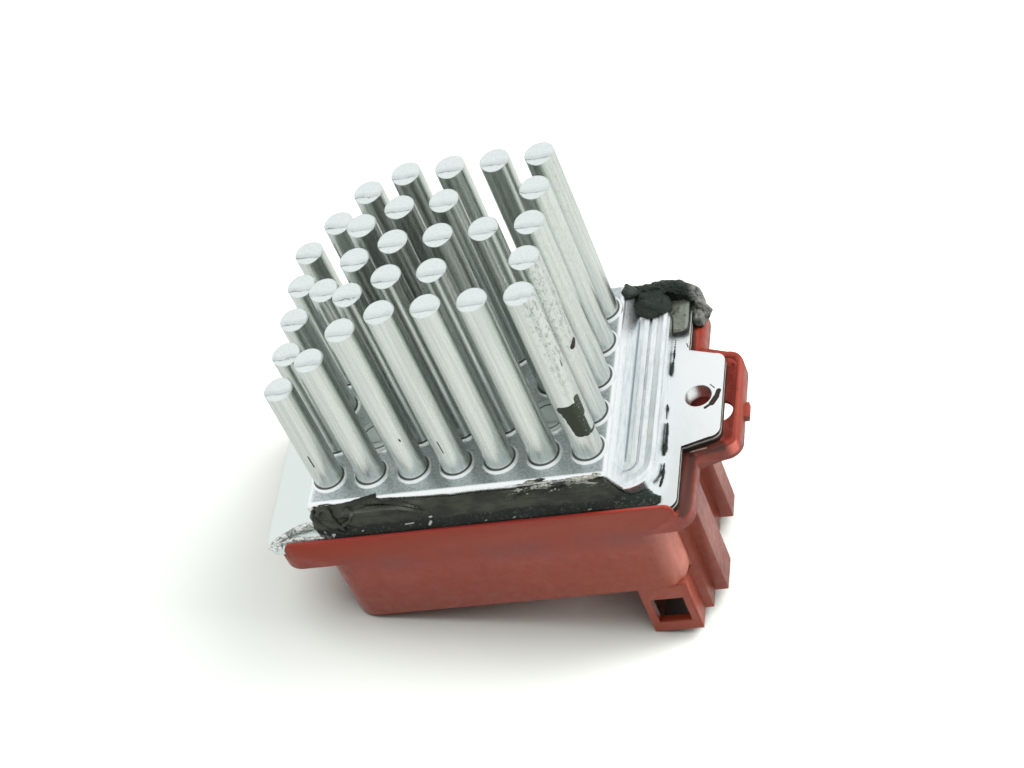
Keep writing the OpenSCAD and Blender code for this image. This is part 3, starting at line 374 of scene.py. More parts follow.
def casePlastic():
    material, tree, shader = newMaterial("redCasePlastic")
    place, x, y, z = inMillimetres(tree)
    normal = faceNormal(tree)
    rim, bottom, front = caseLook["rimBottom"], caseLook["boxBottom"], caseLook["frontY"]
    cloud = grain(tree, place, 0.07, 3, 0.5)
    scuff = grain(tree, place, 0.45, 5, 0.7)
    pores = grain(tree, place, 3.0, 4, 0.7)
    ragged = grain(tree, place, 1.2, 5, 0.7)

    # clouded colour, browner down the box, a dusky belt below the rim, grime in the pores, rubbed spots
    color = blendColor(tree, ramp(tree, cloud, 0.35, 0.7, 0.2, 0.7), caseLook["body"], caseLook["faded"])
    color = blendColor(tree, ramp(tree, z, *caseLook["brownZ"], 0.0, 0.6), color, caseLook["brown"])
    belt = allOf(tree, between(tree, z, *caseLook["beltZ"], 1.8), ramp(tree, cloud, 0.4, 0.6, 0.1, 0.6))
    color = blendColor(tree, belt, color, caseLook["dusk"])
    color = blendColor(tree, ramp(tree, pores, 0.35, 0.7, 0.0, 0.35), color, caseLook["grime"])
    color = blendColor(tree, ramp(tree, scuff, 0.6, 0.8, 0.0, 0.15), color, caseLook["rubbed"])

    # painted light on the outer faces of the ribs that face right, stronger towards the rim
    paintedSideLight = allOf(tree, ramp(tree, normal[0], 0.25, 0.95), ramp(tree, z, rim, rim - 0.5),
                   ramp(tree, y, front, front + 0.5), ramp(tree, x, *caseLook["sideLightX"]),
                   ramp(tree, z, *caseLook["sideLightZ"], 0.0, 0.9))
    color = blendColor(tree, paintedSideLight, color, caseLook["paintedSideLight"])
    # painted highlight on the rounded front corner of the box
    corner = allOf(tree, ramp(tree, x, *caseLook["cornerX"]), ramp(tree, y, front + 0.5, front),
                   ramp(tree, z, rim, rim - 1.0), ramp(tree, z, bottom, bottom + 1.0), 0.55)
    color = blendColor(tree, corner, color, caseLook["corner"])
    # darker lug and rim at the right; painted highlight along the top of the lip and, faintly, on faces that look
    # up
    rightRim = allOf(tree, ramp(tree, x, *caseLook["rightRimX"]), ramp(tree, z, rim - 0.1, rim + 0.2), 0.55)
    color = blendColor(tree, rightRim, color, caseLook["lug"])
    lipHighlight = allOf(tree, ramp(tree, z, *caseLook["lipTopZ"]), ramp(tree, y, *caseLook["lipTopY"]))
    up = calc(tree, "MULTIPLY", ramp(tree, normal[2], 0.5, 0.9), 0.12)
    color = blendColor(tree, allOf(tree, anyOf(tree, [lipHighlight, up]), 0.9), color, caseLook["edge"])
    # inside of the socket darkened as painted shade, recess of the lug lightened as painted light
    socketShade = allOf(tree, between(tree, x, *caseLook["socketX"], 0.2), between(tree, y, *caseLook["socketY"], 0.3),
                  ramp(tree, z, bottom, bottom - 0.6))
    color = blendColor(tree, socketShade, color, caseLook["socketShade"])
    recess = allOf(tree, between(tree, x, *caseLook["recessX"], 0.3), between(tree, z, *caseLook["recessZ"], 0.3),
                   between(tree, y, *caseLook["recessY"], 0.4))
    color = blendColor(tree, recess, color, caseLook["recess"])

    # dried film with ragged edges, dark dots, a pale streak
    films = anyOf(tree, [nearLine(tree, place, *line, 0.8) for line in caseLook["films"]])
    films = ramp(tree, calc(tree, "MULTIPLY_ADD", ragged, 1.6, films), 0.95, 1.7, 0.0, 0.88)
    dots = anyOf(tree, [nearLine(tree, place, *line, 0.3) for line in caseLook["dots"]])
    stained = anyOf(tree, [films, calc(tree, "MULTIPLY", dots, 0.5)])
    color = blendColor(tree, stained, color, caseLook["film"])
    streaks = anyOf(tree, [nearLine(tree, place, *line, 0.12) for line in caseLook["streaks"]])
    color = blendColor(tree, allOf(tree, streaks, 0.8), color, caseLook["pale"])

    feed(tree, shader.inputs["Base Color"], color)
    feed(tree, shader.inputs["Roughness"], ramp(tree, scuff, 0.3, 0.7, *caseLook["rough"]))
    feed(tree, shader.inputs["Specular IOR Level"], ramp(tree, socketShade, 0, 1, caseLook["specular"], 0.0))
    relief(tree, shader, pores, caseLook["poreDepth"], edge=caseLook["rounding"])
    return material


# sealant: torn black silicone

sealantLook = {
    "deep": (0.011, 0.014, 0.009), "olive": (0.044, 0.050, 0.033), "ink": (0.005, 0.011, 0.008),
    "grey": (0.24, 0.24, 0.22), "pad": (0.125, 0.138, 0.112), "fleck": (0.5, 0.5, 0.46),
    "ragged": (0.36, 0.36, 0.31),
    # where each tone and the crease of the front bead lie, or from where they start to where they are full
    "lowZ": (4.9, 4.3), "farRightX": (-3.0, -1.6), "creaseZ": (6.0, 6.5), "tornX": (-36, -30), "tornZ": (8.3, 8.8),
    "residueX": (-7.4, -5.2), "residueY": (16.2, 15.8), "residueZ": (1.1, 0.7),
    "sheenX": (-69, -53), "sheenZ": (7.2, 8.2), "padX": (-7.7, -2.4), "padY": (15.2, 26.6), "padZ": (0.2, 1.75),
    "frontFrom": (-24.0, -24.6), "rough": (0.3, 0.46), "dryRougher": 0.18, "specular": 0.34, "bump": 0.16,
    # bright flecks in the front bead: start, end, half width
    "flecks": [((-73.0, 0, 1.6), (-72.3, 0, 2.3), 0.3), ((-57.0, 0, 2.75), (-55.3, 0, 2.85), 0.12),
               ((-51.7, 0, 3.7), (-51.3, 0, 3.8), 0.18), ((-52.1, 0, 2.2), (-51.7, 0, 2.7), 0.24),
               ((-40.6, 0, 1.8), (-40.3, 0, 1.95), 0.07), ((-34.9, 0, 1.8), (-34.4, 0, 1.95), 0.06),
               ((-19.6, 0, 1.8), (-19.0, 0, 1.9), 0.07), ((-66.3, 0, 2.4), (-66.0, 0, 2.5), 0.1)],
}


def sealantRubber():
    material, tree, shader = newMaterial("blackSealant")
    place, x, y, z = inMillimetres(tree)
    normalZ = faceNormal(tree)[2]
    cloud = grain(tree, place, 0.3, 4, 0.6, stretch=(0.5, 1, 1))
    dust = grain(tree, place, 1.6, 6, 0.75)
    ragged = grain(tree, place, 0.5, 5, 0.7)
    inFront = ramp(tree, y, *sealantLook["frontFrom"])
    behind = invert(tree, inFront)
    color = blendColor(tree, ramp(tree, cloud, 0.36, 0.66), sealantLook["deep"], sealantLook["olive"])

    # crumbly lower strip along the lip
    low = allOf(tree, inFront, ramp(tree, calc(tree, "MULTIPLY_ADD", ragged, 2.2, z), *sealantLook["lowZ"]))
    color = blendColor(tree, low, color, sealantLook["ink"])
    grit = allOf(tree, low, ramp(tree, dust, 0.54, 0.64), 0.28)

    # blacker corner lump with dust on top, a grey right end, old sealant left beside the bank
    farRight = allOf(tree, behind, ramp(tree, x, *sealantLook["farRightX"]), ramp(tree, ragged, 0.3, 0.55), 0.6)
    chalk = allOf(tree, behind, ramp(tree, dust, 0.6, 0.74), ramp(tree, normalZ, 0.1, 0.8), 0.3)
    residue = allOf(tree, behind, ramp(tree, z, *sealantLook["residueZ"]),
                    between(tree, x, *sealantLook["residueX"], 0.2), ramp(tree, y, *sealantLook["residueY"]))
    black = anyOf(tree, [residue, calc(tree, "MULTIPLY", behind, 0.75)])
    color = blendColor(tree, black, color, sealantLook["ink"])
    color = blendColor(tree, anyOf(tree, [grit, farRight, chalk]), color, sealantLook["grey"])

    # torn pale upper edge towards the bank, grey sheen on the fold at the left
    threads = grain(tree, place, 0.9, 4, 0.6, stretch=(0.4, 1, 1.8))
    torn = allOf(tree, inFront, ramp(tree, x, *sealantLook["tornX"]), ramp(tree, threads, 0.46, 0.56),
                 ramp(tree, calc(tree, "MULTIPLY_ADD", ragged, 3.0, z), *sealantLook["tornZ"]))
    color = blendColor(tree, torn, color, sealantLook["ragged"])
    sheen = allOf(tree, inFront, between(tree, x, *sealantLook["sheenX"], 1.5),
                  between(tree, calc(tree, "MULTIPLY_ADD", cloud, 1.2, z), *sealantLook["sheenZ"], 0.4), 0.3)
    color = blendColor(tree, sheen, color, sealantLook["grey"])

    # bare pad on the flange corner, flecks
    pad = allOf(tree, behind, between(tree, x, *sealantLook["padX"], 0.15),
                between(tree, y, *sealantLook["padY"], 0.2), between(tree, z, *sealantLook["padZ"], 0.1),
                ramp(tree, normalZ, 0.35, 0.6))
    color = blendColor(tree, pad, color, sealantLook["pad"])
    flatPlace = vecCalc(tree, "MULTIPLY", place, (1, 0, 1))
    flecks = anyOf(tree, [nearLine(tree, flatPlace, *line, 0.08) for line in sealantLook["flecks"]])
    flecks = allOf(tree, inFront, flecks, ramp(tree, dust, 0.3, 0.42))
    color = blendColor(tree, flecks, color, sealantLook["fleck"])
    feed(tree, shader.inputs["Base Color"], color)

    dry = anyOf(tree, [low, torn, pad])
    rough = ramp(tree, cloud, 0.3, 0.7, *sealantLook["rough"])
    feed(tree, shader.inputs["Roughness"], calc(tree, "MULTIPLY_ADD", dry, sealantLook["dryRougher"], rough))
    shader.inputs["Specular IOR Level"].default_value = sealantLook["specular"]
    # crease two thirds up the film, over fine grit; deep wrinkles in the corner lump
    crease = allOf(tree, inFront, ramp(tree, calc(tree, "MULTIPLY_ADD", cloud, 1.4, z), *sealantLook["creaseZ"]))
    height = calc(tree, "MULTIPLY", dust, calc(tree, "MULTIPLY_ADD", low, 1.3, 0.25))
    height = calc(tree, "MULTIPLY_ADD", crease, 1.0, height)
    height = calc(tree, "MULTIPLY_ADD", allOf(tree, behind, ragged, invert(tree, pad)), 4.0, height)
    relief(tree, shader, height, sealantLook["bump"])
    return material


# smeared sealant at the left corner that shines like foil

smearLook = {"bright": (0.80, 0.83, 0.80), "dark": (0.14, 0.15, 0.125), "metal": 0.8, "rough": 0.24, "bump": 0.25}


def silverSmear():
    material, tree, shader = newMaterial("silverySmear")
    place = inMillimetres(tree)[0]
    streaks = grain(tree, place, 0.9, 5, 0.7, warp=1.5)
    color = blendColor(tree, ramp(tree, streaks, 0.47, 0.62), smearLook["bright"], smearLook["dark"])
    feed(tree, shader.inputs["Base Color"], color)
    feed(tree, shader.inputs["Metallic"], ramp(tree, streaks, 0.6, 0.45, 0.0, smearLook["metal"]))
    shader.inputs["Roughness"].default_value = smearLook["rough"]
    relief(tree, shader, streaks, smearLook["bump"])
    return material


# the hidden pieces: colour, metal, roughness, lumps a mm, and the nodes that wear it

hiddenLooks = {
    "sealCord": ((0.02, 0.02, 0.02), 0.0, 0.6, 0.8, ["rim_seal"]),
    "boardResin": ((0.05, 0.20, 0.09), 0.0, 0.4, 1.2, ["circuit_board"]),
    "zincScrews": ((0.62, 0.62, 0.58), 1.0, 0.3, 2.0, ["board_screws"]),
    "clampSteel": ((0.58, 0.60, 0.62), 1.0, 0.32, 1.0, ["clamp_bar"]),
    "clampScrewSteel": ((0.60, 0.60, 0.58), 1.0, 0.3, 2.0, ["clamp_screw"]),
    "shuntAlloy": ((0.52, 0.33, 0.22), 1.0, 0.35, 1.5, ["shunt_resistor"]),
    "capacitorSleeve": ((0.03, 0.045, 0.14), 0.0, 0.25, 0.8, ["filter_capacitor"]),
    "filmBox": ((0.50, 0.30, 0.05), 0.0, 0.3, 0.8, ["film_capacitor"]),
    "fuseCan": ((0.64, 0.64, 0.60), 1.0, 0.28, 1.2, ["thermal_fuse"]),
    "greyPad": ((0.48, 0.46, 0.42), 0.0, 0.7, 1.6, ["left_insulator", "right_insulator"]),
    "moldedBlack": ((0.02, 0.02, 0.022), 0.0, 0.5, 2.2,
                    ["left_transistor", "right_transistor", "freewheel_diode", "control_chip",
                     "left_gate_resistor", "right_gate_resistor"]),
    "tinnedBlades": ((0.30, 0.27, 0.20), 1.0, 0.4, 1.4,
                     ["supply_blade", "ground_blade", "motor_plus_blade", "motor_minus_blade",
                      "control_pin", "sense_pin"]),
}


hiddenFinish = {"darker": 0.72, "rougher": 0.14, "finer": 4, "bump": 0.02, "edge": 0.12}


def hiddenMaterial(name, base, metal, rough, scale):
    material, tree, shader = newMaterial(name)
    place = inMillimetres(tree)[0]
    tone = grain(tree, place, scale, 4, 0.6)
    darker = tuple(value * hiddenFinish["darker"] for value in base)
    feed(tree, shader.inputs["Base Color"], blendColor(tree, ramp(tree, tone, 0.35, 0.7), base, darker))
    shader.inputs["Metallic"].default_value = metal
    feed(tree, shader.inputs["Roughness"], ramp(tree, tone, 0.3, 0.7, rough, rough + hiddenFinish["rougher"]))
    lumps = grain(tree, place, scale * hiddenFinish["finer"], 3, 0.6)
    relief(tree, shader, lumps, hiddenFinish["bump"], edge=hiddenFinish["edge"])
    return material


def dress(target, material):
    target.data.materials.clear()
    target.data.materials.append(material)


aluminiumSkin, casePlasticSkin, sealantSkin, silverSkin = aluminium(), casePlastic(), sealantRubber(), silverSmear()
dress(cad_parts["heat_sink"], aluminiumSkin)
dress(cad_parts["case"], casePlasticSkin)
for name, (base, metal, rough, scale, nodeNames) in hiddenLooks.items():
    hiddenSkin = hiddenMaterial(name, base, metal, rough, scale)
    for nodeName in nodeNames:
        dress(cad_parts[nodeName], hiddenSkin)
print("materials done:", len(bpy.data.materials))


# mesh helpers; voxels, lumps and strengths are in mm

weldWithin = 0.01


def toMetres(values):
    return [value * mm for value in values]


def makeActive(piece):
    bpy.ops.object.select_all(action="DESELECT")
    piece.select_set(True)
    bpy.context.view_layer.objects.active = piece


def applyAll(piece):
    makeActive(piece)
    for modifier in list(piece.modifiers):
        bpy.ops.object.modifier_apply(modifier=modifier.name)


def evenOut(piece, voxel):
    remesh = piece.modifiers.new("even", "REMESH")
    remesh.mode = "VOXEL"
    remesh.voxel_size = voxel * mm
    remesh.use_smooth_shade = True


def roughen(piece, size, strength, mid=0.5):
    texture = bpy.data.textures.new(piece.name + "Lumps" + str(round(size * 100)), "CLOUDS")
    texture.noise_scale = size * mm
    texture.noise_depth = 3
    push = piece.modifiers.new("lumps", "DISPLACE")
    push.texture = texture
    push.texture_coords = "LOCAL"
    push.strength = strength * mm
    push.mid_level = mid


def smoothOut(piece, name, times):
    smooth = piece.modifiers.new(name, "SMOOTH")
    smooth.factor = 0.5
    smooth.iterations = times


def cutAway(piece, cutter):
    cut = piece.modifiers.new("carve", "BOOLEAN")
    cut.object = cutter
    makeActive(piece)
    bpy.ops.object.modifier_apply(modifier=cut.name)
    bpy.data.objects.remove(cutter)


def copyOf(nodeName, name):
    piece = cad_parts[nodeName].copy()
    piece.data = piece.data.copy()
    piece.parent = None
    for key in list(piece.keys()):
        del piece[key]
    piece.name = piece.data.name = name
    bpy.context.scene.collection.objects.link(piece)
    makeActive(piece)
    bpy.ops.object.mode_set(mode="EDIT")
    bpy.ops.mesh.select_all(action="SELECT")
    bpy.ops.mesh.remove_doubles(threshold=weldWithin * mm)
    bpy.ops.mesh.normals_make_consistent(inside=False)
    bpy.ops.object.mode_set(mode="OBJECT")
    return piece


# the two masses of sealant, carved and roughened
# lumps: size and height; carved: middle and half sizes of each ellipsoid taken away

masses = {
    "front_sealant": {
        "name": "frontSealantBead", "voxel": 0.26, "lumps": [(5.0, 0.6), (1.0, 0.16)], "mid": 0.52,
        "carved": [((-77.0, -28.0, 0.8), (4.4, 3.0, 2.9)), ((-77.4, -26.6, 4.2), (1.5, 2.0, 2.2)),
                   ((-5.6, -20.6, 2.2), (3.4, 4.6, 3.3)), ((-10.5, -24.9, 5.6), (2.6, 1.4, 2.4))]},
    "corner_sealant": {
        "name": "cornerSealantLump", "voxel": 0.2, "lumps": [(2.4, 0.5), (0.8, 0.3)], "mid": 0.53,
        "carved": []},
}


def sealantPiece(nodeName, plan):
    piece = copyOf(nodeName, plan["name"])
    evenOut(piece, plan["voxel"])
    applyAll(piece)
    for middle, half in plan["carved"]:
        bpy.ops.mesh.primitive_ico_sphere_add(subdivisions=4, radius=1, location=toMetres(middle),
                                              scale=toMetres(half))
        cutAway(piece, bpy.context.object)
    evenOut(piece, plan["voxel"])
    smoothOut(piece, "soften", 4)
    for size, strength in plan["lumps"]:
        roughen(piece, size, strength, plan["mid"])
    smoothOut(piece, "finish", 2)
    applyAll(piece)
    dress(piece, sealantSkin)
    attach(piece, "root")
    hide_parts(nodeName)
    print(piece.name, len(piece.data.polygons), "faces")


for nodeName, plan in masses.items():
    sealantPiece(nodeName, plan)


# the case with its box corner rounded free of the socket
# each cut is a block with a round bar left standing in it

shell = {
    "smoothUnder": 35, "barLength": 60, "barSides": 128,
    "cuts": [{"low": (-10.6, -29.0, -24.08), "high": (-4.9, -23.4, -6.42),
              "bar": (-10.6, -23.4, -13.0), "turn": (0, 3.8, 0), "radius": 5.02},
             {"low": (-8.3, -29.0, -24.08), "high": (-4.9, -23.4, -21.7),
              "bar": (-8.32, -26.0, -21.68), "turn": (90, 0, 0), "radius": 2.42}],
}


def caseShell():
    piece = copyOf("case", "caseShell")
    for cut in shell["cuts"]:
        bpy.ops.mesh.primitive_cylinder_add(vertices=shell["barSides"], radius=cut["radius"] * mm,
                                            depth=shell["barLength"] * mm, location=toMetres(cut["bar"]),
                                            rotation=[math.radians(v) for v in cut["turn"]])
        bar = bpy.context.object
        bpy.ops.mesh.primitive_cube_add(size=1, scale=[(b - a) * mm for a, b in zip(cut["low"], cut["high"])],
                                        location=[(a + b) / 2 * mm for a, b in zip(cut["low"], cut["high"])])
        block = bpy.context.object
        cutAway(block, bar)
        cutAway(piece, block)
    bpy.ops.object.shade_smooth_by_angle(angle=math.radians(shell["smoothUnder"]))
    dress(piece, casePlasticSkin)
    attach(piece, "root")
    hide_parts("case")
    print(piece.name, len(piece.data.polygons), "faces")


caseShell()


# smears, strands and crumbs: each runs through balls of x, y, z and radius, with lumps of size and height

smearVoxel = 0.16
thin = [(1.2, 0.35), (0.4, 0.15)]
curled = [(1.6, 0.4), (0.5, 0.12)]
folded = [(2.2, 0.3), (0.6, 0.08)]
smears = {
    "bankFootSmear": {"lumps": thin, "skin": sealantSkin, "balls": [
        (-5.7, 15.5, 0.1, 0.2), (-5.7, 13.0, 0.1, 0.24), (-5.7, 10.6, 0.1, 0.26), (-5.8, 8.0, 0.1, 0.32),
        (-6.2, 6.6, 0.2, 0.6), (-7.0, 6.2, 0.4, 0.5)]},
    "bankFootStreak": {"lumps": thin, "skin": sealantSkin, "balls": [
        (-5.8, -6.4, 0.1, 0.24), (-5.7, -8.0, 0.1, 0.3), (-5.7, -9.7, 0.1, 0.34), (-5.7, -11.2, 0.1, 0.4),
        (-5.8, -12.8, 0.1, 0.45), (-5.9, -14.1, 0.1, 0.3)]},
    "bankFootTail": {"lumps": thin, "skin": sealantSkin, "balls": [
        (-5.75, -16.5, 0.1, 0.24), (-5.75, -18.3, 0.1, 0.3), (-5.8, -20.0, 0.1, 0.32), (-6.2, -21.8, 0.1, 0.3)]},
    "bankFootDash": {"lumps": thin, "skin": sealantSkin, "balls": [
        (-6.1, -1.6, 0.3, 0.2), (-6.0, -2.6, 0.2, 0.3), (-6.2, -3.8, 0.3, 0.24), (-6.1, -5.0, 0.2, 0.2)]},
    "cornerBulk": {"lumps": [(2.6, 0.4), (0.7, 0.1)], "skin": sealantSkin, "balls": [
        (-13.5, 22.4, 4.6, 1.2), (-12.4, 21.6, 4.7, 1.5), (-10.8, 21.3, 4.7, 1.6), (-9.4, 20.6, 4.4, 1.6),
        (-7.9, 20.4, 4.0, 1.5), (-7.1, 21.4, 3.6, 1.4), (-7.6, 23.0, 3.8, 1.5), (-8.8, 23.8, 4.0, 1.5),
        (-10.4, 23.8, 4.4, 1.6), (-12.6, 23.6, 4.8, 1.4)]},
    "cornerRidge": {"lumps": [(1.4, 1.0), (0.5, 0.5)], "skin": sealantSkin, "balls": [
        (-16.0, 26.0, 5.2, 0.8), (-13.6, 25.6, 5.2, 1.1), (-11.2, 25.6, 5.2, 1.3), (-8.6, 25.9, 4.9, 1.5),
        (-6.2, 26.2, 4.5, 1.6), (-4.2, 26.1, 3.6, 1.5), (-2.4, 25.6, 2.0, 1.3)]},
    "cornerFoot": {"lumps": [(1.4, 0.9), (0.5, 0.4)], "skin": sealantSkin, "balls": [
        (-1.8, 25.6, 1.2, 1.1), (-0.9, 24.6, 0.0, 1.2), (0.1, 23.6, -0.9, 1.1), (-0.6, 22.2, -1.5, 0.9),
        (-1.0, 21.0, -2.0, 0.6)]},
    "leftCurl": {"lumps": curled, "skin": sealantSkin, "balls": [
        (-74.3, -25.9, 7.2, 0.55), (-73.9, -25.3, 8.1, 0.6), (-72.5, -25.4, 8.4, 0.6), (-71.8, -25.8, 7.9, 0.5),
        (-71.7, -26.2, 6.3, 0.5), (-70.9, -26.6, 4.5, 0.5), (-69.8, -27.0, 3.0, 0.4)]},
    "leftKnot": {"lumps": curled, "skin": sealantSkin, "balls": [
        (-69.4, -26.3, 7.0, 0.4), (-67.7, -26.0, 7.9, 0.45), (-66.8, -26.2, 7.2, 0.4), (-68.0, -26.6, 5.3, 0.45),
        (-69.7, -26.8, 4.3, 0.5)]},
    "leftCrescent": {"lumps": curled, "skin": sealantSkin, "balls": [
        (-75.2, -25.2, 7.6, 0.5), (-75.6, -25.5, 5.8, 0.7), (-74.6, -26.2, 3.9, 0.8), (-72.4, -26.7, 2.7, 0.7),
        (-70.4, -27.0, 2.3, 0.5)]},
    "foldedEdge": {"lumps": folded, "skin": sealantSkin, "balls": [
        (-66.4, -26.0, 7.0, 0.4), (-63.5, -25.9, 7.5, 0.6), (-60.5, -25.9, 7.6, 0.6), (-57.2, -26.0, 7.1, 0.55),
        (-54.4, -26.3, 6.2, 0.42), (-51.6, -26.6, 5.0, 0.25)]},
    "filmTopEdge": {"lumps": folded, "skin": sealantSkin, "balls": [
        (-66.0, -24.9, 8.4, 0.4), (-62.0, -25.0, 8.3, 0.6), (-59.0, -25.2, 8.1, 0.65), (-56.4, -25.6, 7.6, 0.5),
        (-53.4, -26.1, 6.6, 0.3)]},
    "tornStrand": {"lumps": [(0.9, 0.9), (0.35, 0.35)], "skin": sealantSkin, "balls": [
        (-35.5, -26.2, 6.7, 0.25), (-32.8, -25.6, 7.7, 0.4), (-30.0, -25.5, 7.8, 0.35), (-27.2, -25.2, 8.2, 0.45),
        (-24.0, -25.3, 8.0, 0.4), (-21.0, -24.9, 8.5, 0.45), (-18.2, -24.9, 8.5, 0.45), (-16.0, -24.6, 8.7, 0.5)]},
    "tornUnderStrand": {"lumps": [(0.9, 0.9), (0.35, 0.3)], "skin": sealantSkin, "balls": [
        (-33.6, -26.4, 6.4, 0.2), (-30.6, -26.0, 6.9, 0.3), (-27.6, -26.2, 6.6, 0.25), (-24.8, -25.8, 7.2, 0.3),
        (-22.0, -26.0, 6.9, 0.2)]},
    "plateauChip": {"lumps": [(0.8, 0.4), (0.3, 0.15)], "skin": sealantSkin, "balls": [
        (-31.1, -24.9, 8.7, 0.2), (-30.0, -24.7, 8.8, 0.42), (-28.8, -24.6, 8.8, 0.3), (-27.6, -24.4, 8.8, 0.42),
        (-26.6, -24.2, 8.8, 0.2)]},
    "smearedFilm": {"lumps": [(1.4, 0.6), (0.5, 0.2)], "skin": silverSkin, "balls": [
        (-75.0, -24.9, 0.8, 0.6), (-78.0, -23.0, 0.5, 0.75), (-80.2, -23.2, 0.5, 0.9), (-82.8, -24.0, 0.4, 0.8),
        (-85.0, -25.4, 0.2, 0.7), (-86.8, -26.4, 0.0, 0.6)]},
    "smearedTail": {"lumps": [(1.0, 0.4), (0.4, 0.15)], "skin": silverSkin, "balls": [
        (-75.2, -26.6, 0.6, 0.5), (-78.6, -26.4, 0.4, 0.6), (-81.4, -26.0, 0.3, 0.6), (-83.4, -26.2, 0.2, 0.5),
        (-85.6, -26.8, 0.0, 0.4)]},
    "smearedLoop": {"lumps": [(0.8, 0.25)], "skin": silverSkin, "balls": [
        (-87.1, -26.2, 0.2, 0.4), (-87.2, -27.2, -0.2, 0.4), (-85.9, -27.8, -0.4, 0.4), (-84.7, -27.3, 0.0, 0.4)]},
    "smearedEdge": {"lumps": [(1.2, 0.4), (0.4, 0.1)], "skin": sealantSkin, "balls": [
        (-74.6, -27.3, 0.6, 0.5), (-77.4, -27.4, 0.2, 0.6), (-80.2, -27.5, 0.0, 0.6), (-82.8, -27.3, -0.2, 0.4)]},
}


def smear(name, plan):
    points = plan["balls"]
    balls = []
    for point, nextPoint in zip(points, points[1:] + points[-1:]):
        for share in [0.0] if point == points[-1] else [0.0, 0.25, 0.5, 0.75]:
            x, y, z, radius = [a + (b - a) * share for a, b in zip(point, nextPoint)]
            bpy.ops.mesh.primitive_ico_sphere_add(subdivisions=2, radius=radius * mm, location=toMetres((x, y, z)))
            bpy.ops.object.transform_apply(location=True)
            balls.append(bpy.context.object)
    for ball in balls:
        ball.select_set(True)
    bpy.context.view_layer.objects.active = balls[0]
    bpy.ops.object.join()
    piece = bpy.context.object
    piece.name = piece.data.name = name
    evenOut(piece, smearVoxel)
    for size, strength in plan["lumps"]:
        roughen(piece, size, strength)
    smoothOut(piece, "finish", 2)
    applyAll(piece)
    dress(piece, plan["skin"])
    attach(piece, "root")


for name, plan in smears.items():
    smear(name, plan)
print("smears done:", len(smears))


# floor, light and camera

stage = {
    # the floor passes through this point, rises by this slope towards -X, and is this wide in m
    "floorAt": (-77.4, 0.0, -24.1), "slope": 0.2504, "width": 6.0,
    "floorColor": (0.79, 0.835, 0.79), "mirroredFloor": 0.72, "mirroredShare": 0.7,
    # painted contact shadow close under the part: colour, reach in mm, openness from dark to clear
    "contactShadow": (0.11, 0.08, 0.065), "reach": 16, "openness": (0.14, 0.62), "contactSamples": 12,
    # runs into the white background between these distances from the hole
    "fade": (260, 480),
    "worldStrength": 0.49, "worldMirrored": 0.97,
    # name, size in m, power, place in m, aim in m
    "lamps": [
        ("keyLamp", 0.9, 19.0, (0.95, 0.65, 1.2), (-0.04, 0.0, 0.02)),
        ("topLamp", 1.2, 18.0, (-0.3, 0.1, 1.7), (-0.04, 0.0, 0.02)),
        ("sideLamp", 0.8, 14.5, (1.1, 0.35, 0.5), (-0.04, 0.0, 0.0)),
    ],
    "camera": (109.167, -307.768, 351.753), "turn": (41.97511, 17.57892, 6.64717), "lens": 85.056,
    "sensor": 36, "clip": (0.01, 20),
}


def mixShaders(tree, amount, first, second):
    node = tree.nodes.new("ShaderNodeMixShader")
    feed(tree, node.inputs[0], amount)
    feed(tree, node.inputs[1], first)
    feed(tree, node.inputs[2], second)
    return node.outputs[0]


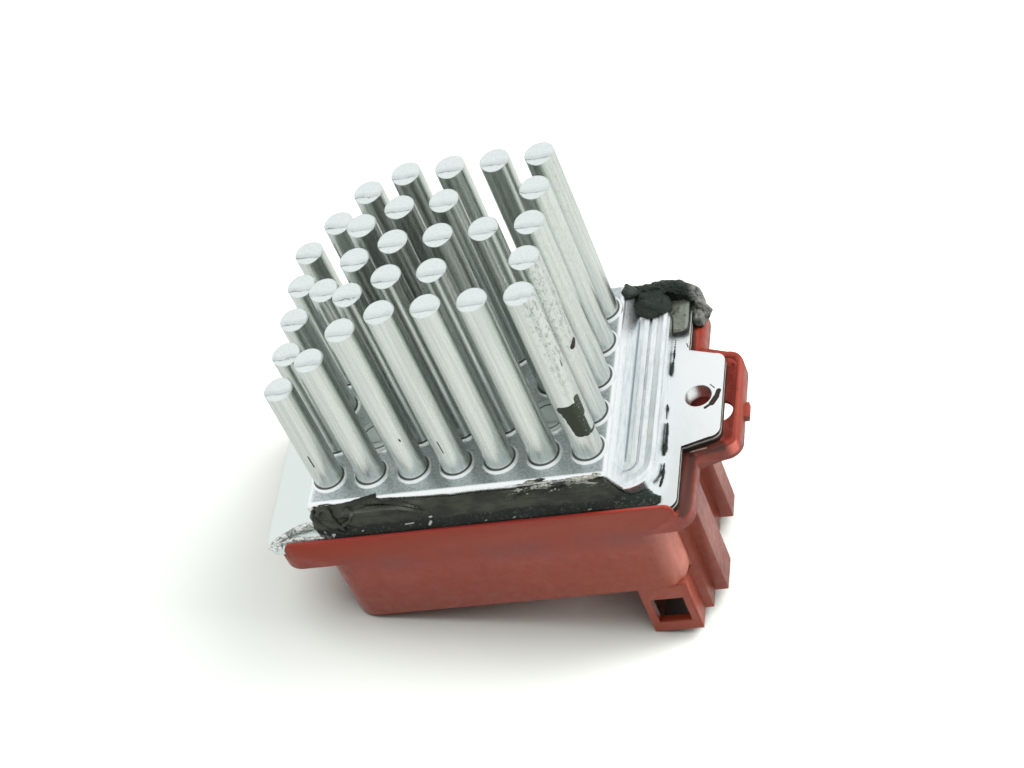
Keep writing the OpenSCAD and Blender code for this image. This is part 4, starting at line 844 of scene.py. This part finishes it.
def floorPaint():
    material, tree, shader = newMaterial("paleFloorPaint")
    # painted contact shadow, darker where the part is close
    near = tree.nodes.new("ShaderNodeAmbientOcclusion")
    near.samples = stage["contactSamples"]
    near.inputs["Distance"].default_value = stage["reach"] * mm
    clear = ramp(tree, near.outputs["AO"], *stage["openness"])
    feed(tree, shader.inputs["Base Color"], blendColor(tree, clear, stage["contactShadow"], stage["floorColor"]))
    shader.inputs["Roughness"].default_value = 1.0
    shader.inputs["Specular IOR Level"].default_value = 0.0
    rays = tree.nodes.new("ShaderNodeLightPath").outputs
    glow = tree.nodes.new("ShaderNodeEmission")
    glow.inputs["Strength"].default_value = stage["mirroredFloor"]
    mirrored = calc(tree, "MULTIPLY", rays["Is Glossy Ray"], stage["mirroredShare"])
    surface = mixShaders(tree, mirrored, shader.outputs[0], glow.outputs[0])
    x, y = inMillimetres(tree)[1:3]
    far = allOf(tree, rays["Is Camera Ray"], ramp(tree, diagonal(tree, x, y), *stage["fade"]))
    surface = mixShaders(tree, far, surface, tree.nodes.new("ShaderNodeEmission").outputs[0])
    # seen from below the floor is clear
    below = tree.nodes.new("ShaderNodeNewGeometry").outputs["Backfacing"]
    surface = mixShaders(tree, below, surface, tree.nodes.new("ShaderNodeBsdfTransparent").outputs[0])
    feed(tree, tree.nodes["Material Output"].inputs["Surface"], surface)
    return material


def buildFloor():
    bpy.ops.mesh.primitive_plane_add(size=stage["width"], rotation=(0, math.atan(stage["slope"]), 0),
                                     location=toMetres(stage["floorAt"]))
    bpy.ops.object.transform_apply(location=True, rotation=True)
    floor = bpy.context.object
    floor.name = "paleFloor"
    dress(floor, floorPaint())


def buildWorld():
    world = bpy.data.worlds.new("whiteStudio")
    world.use_nodes = True
    tree = world.node_tree
    sky = tree.nodes["Background"]
    sky.inputs["Color"].default_value = (1, 1, 1, 1)
    rays = tree.nodes.new("ShaderNodeLightPath").outputs
    mirrored = ramp(tree, rays["Is Glossy Ray"], 0, 1, stage["worldStrength"], stage["worldMirrored"])
    seen = anyOf(tree, [rays["Is Camera Ray"], rays["Is Transmission Ray"]])
    feed(tree, sky.inputs["Strength"], calc(tree, "MAXIMUM", mirrored, seen))
    bpy.context.scene.world = world


def buildLamp(name, size, power, at, aim):
    bpy.ops.object.light_add(type="AREA", location=at)
    lamp = bpy.context.object
    lamp.name = name
    lamp.data.size = size
    lamp.data.energy = power
    lamp.visible_glossy = False
    lamp.rotation_euler = (Vector(aim) - Vector(at)).to_track_quat("-Z", "Y").to_euler()


def buildCamera():
    bpy.ops.object.camera_add(location=toMetres(stage["camera"]), rotation=[math.radians(v) for v in stage["turn"]])
    camera = bpy.context.object
    camera.data.lens = stage["lens"]
    camera.data.sensor_width = stage["sensor"]
    camera.data.clip_start, camera.data.clip_end = stage["clip"]
    bpy.context.scene.camera = camera


buildFloor()
buildWorld()
for lamp in stage["lamps"]:
    buildLamp(*lamp)
buildCamera()
bpy.context.scene.view_settings.view_transform = "Standard"
bpy.ops.object.select_all(action="DESELECT")
print("stage done")
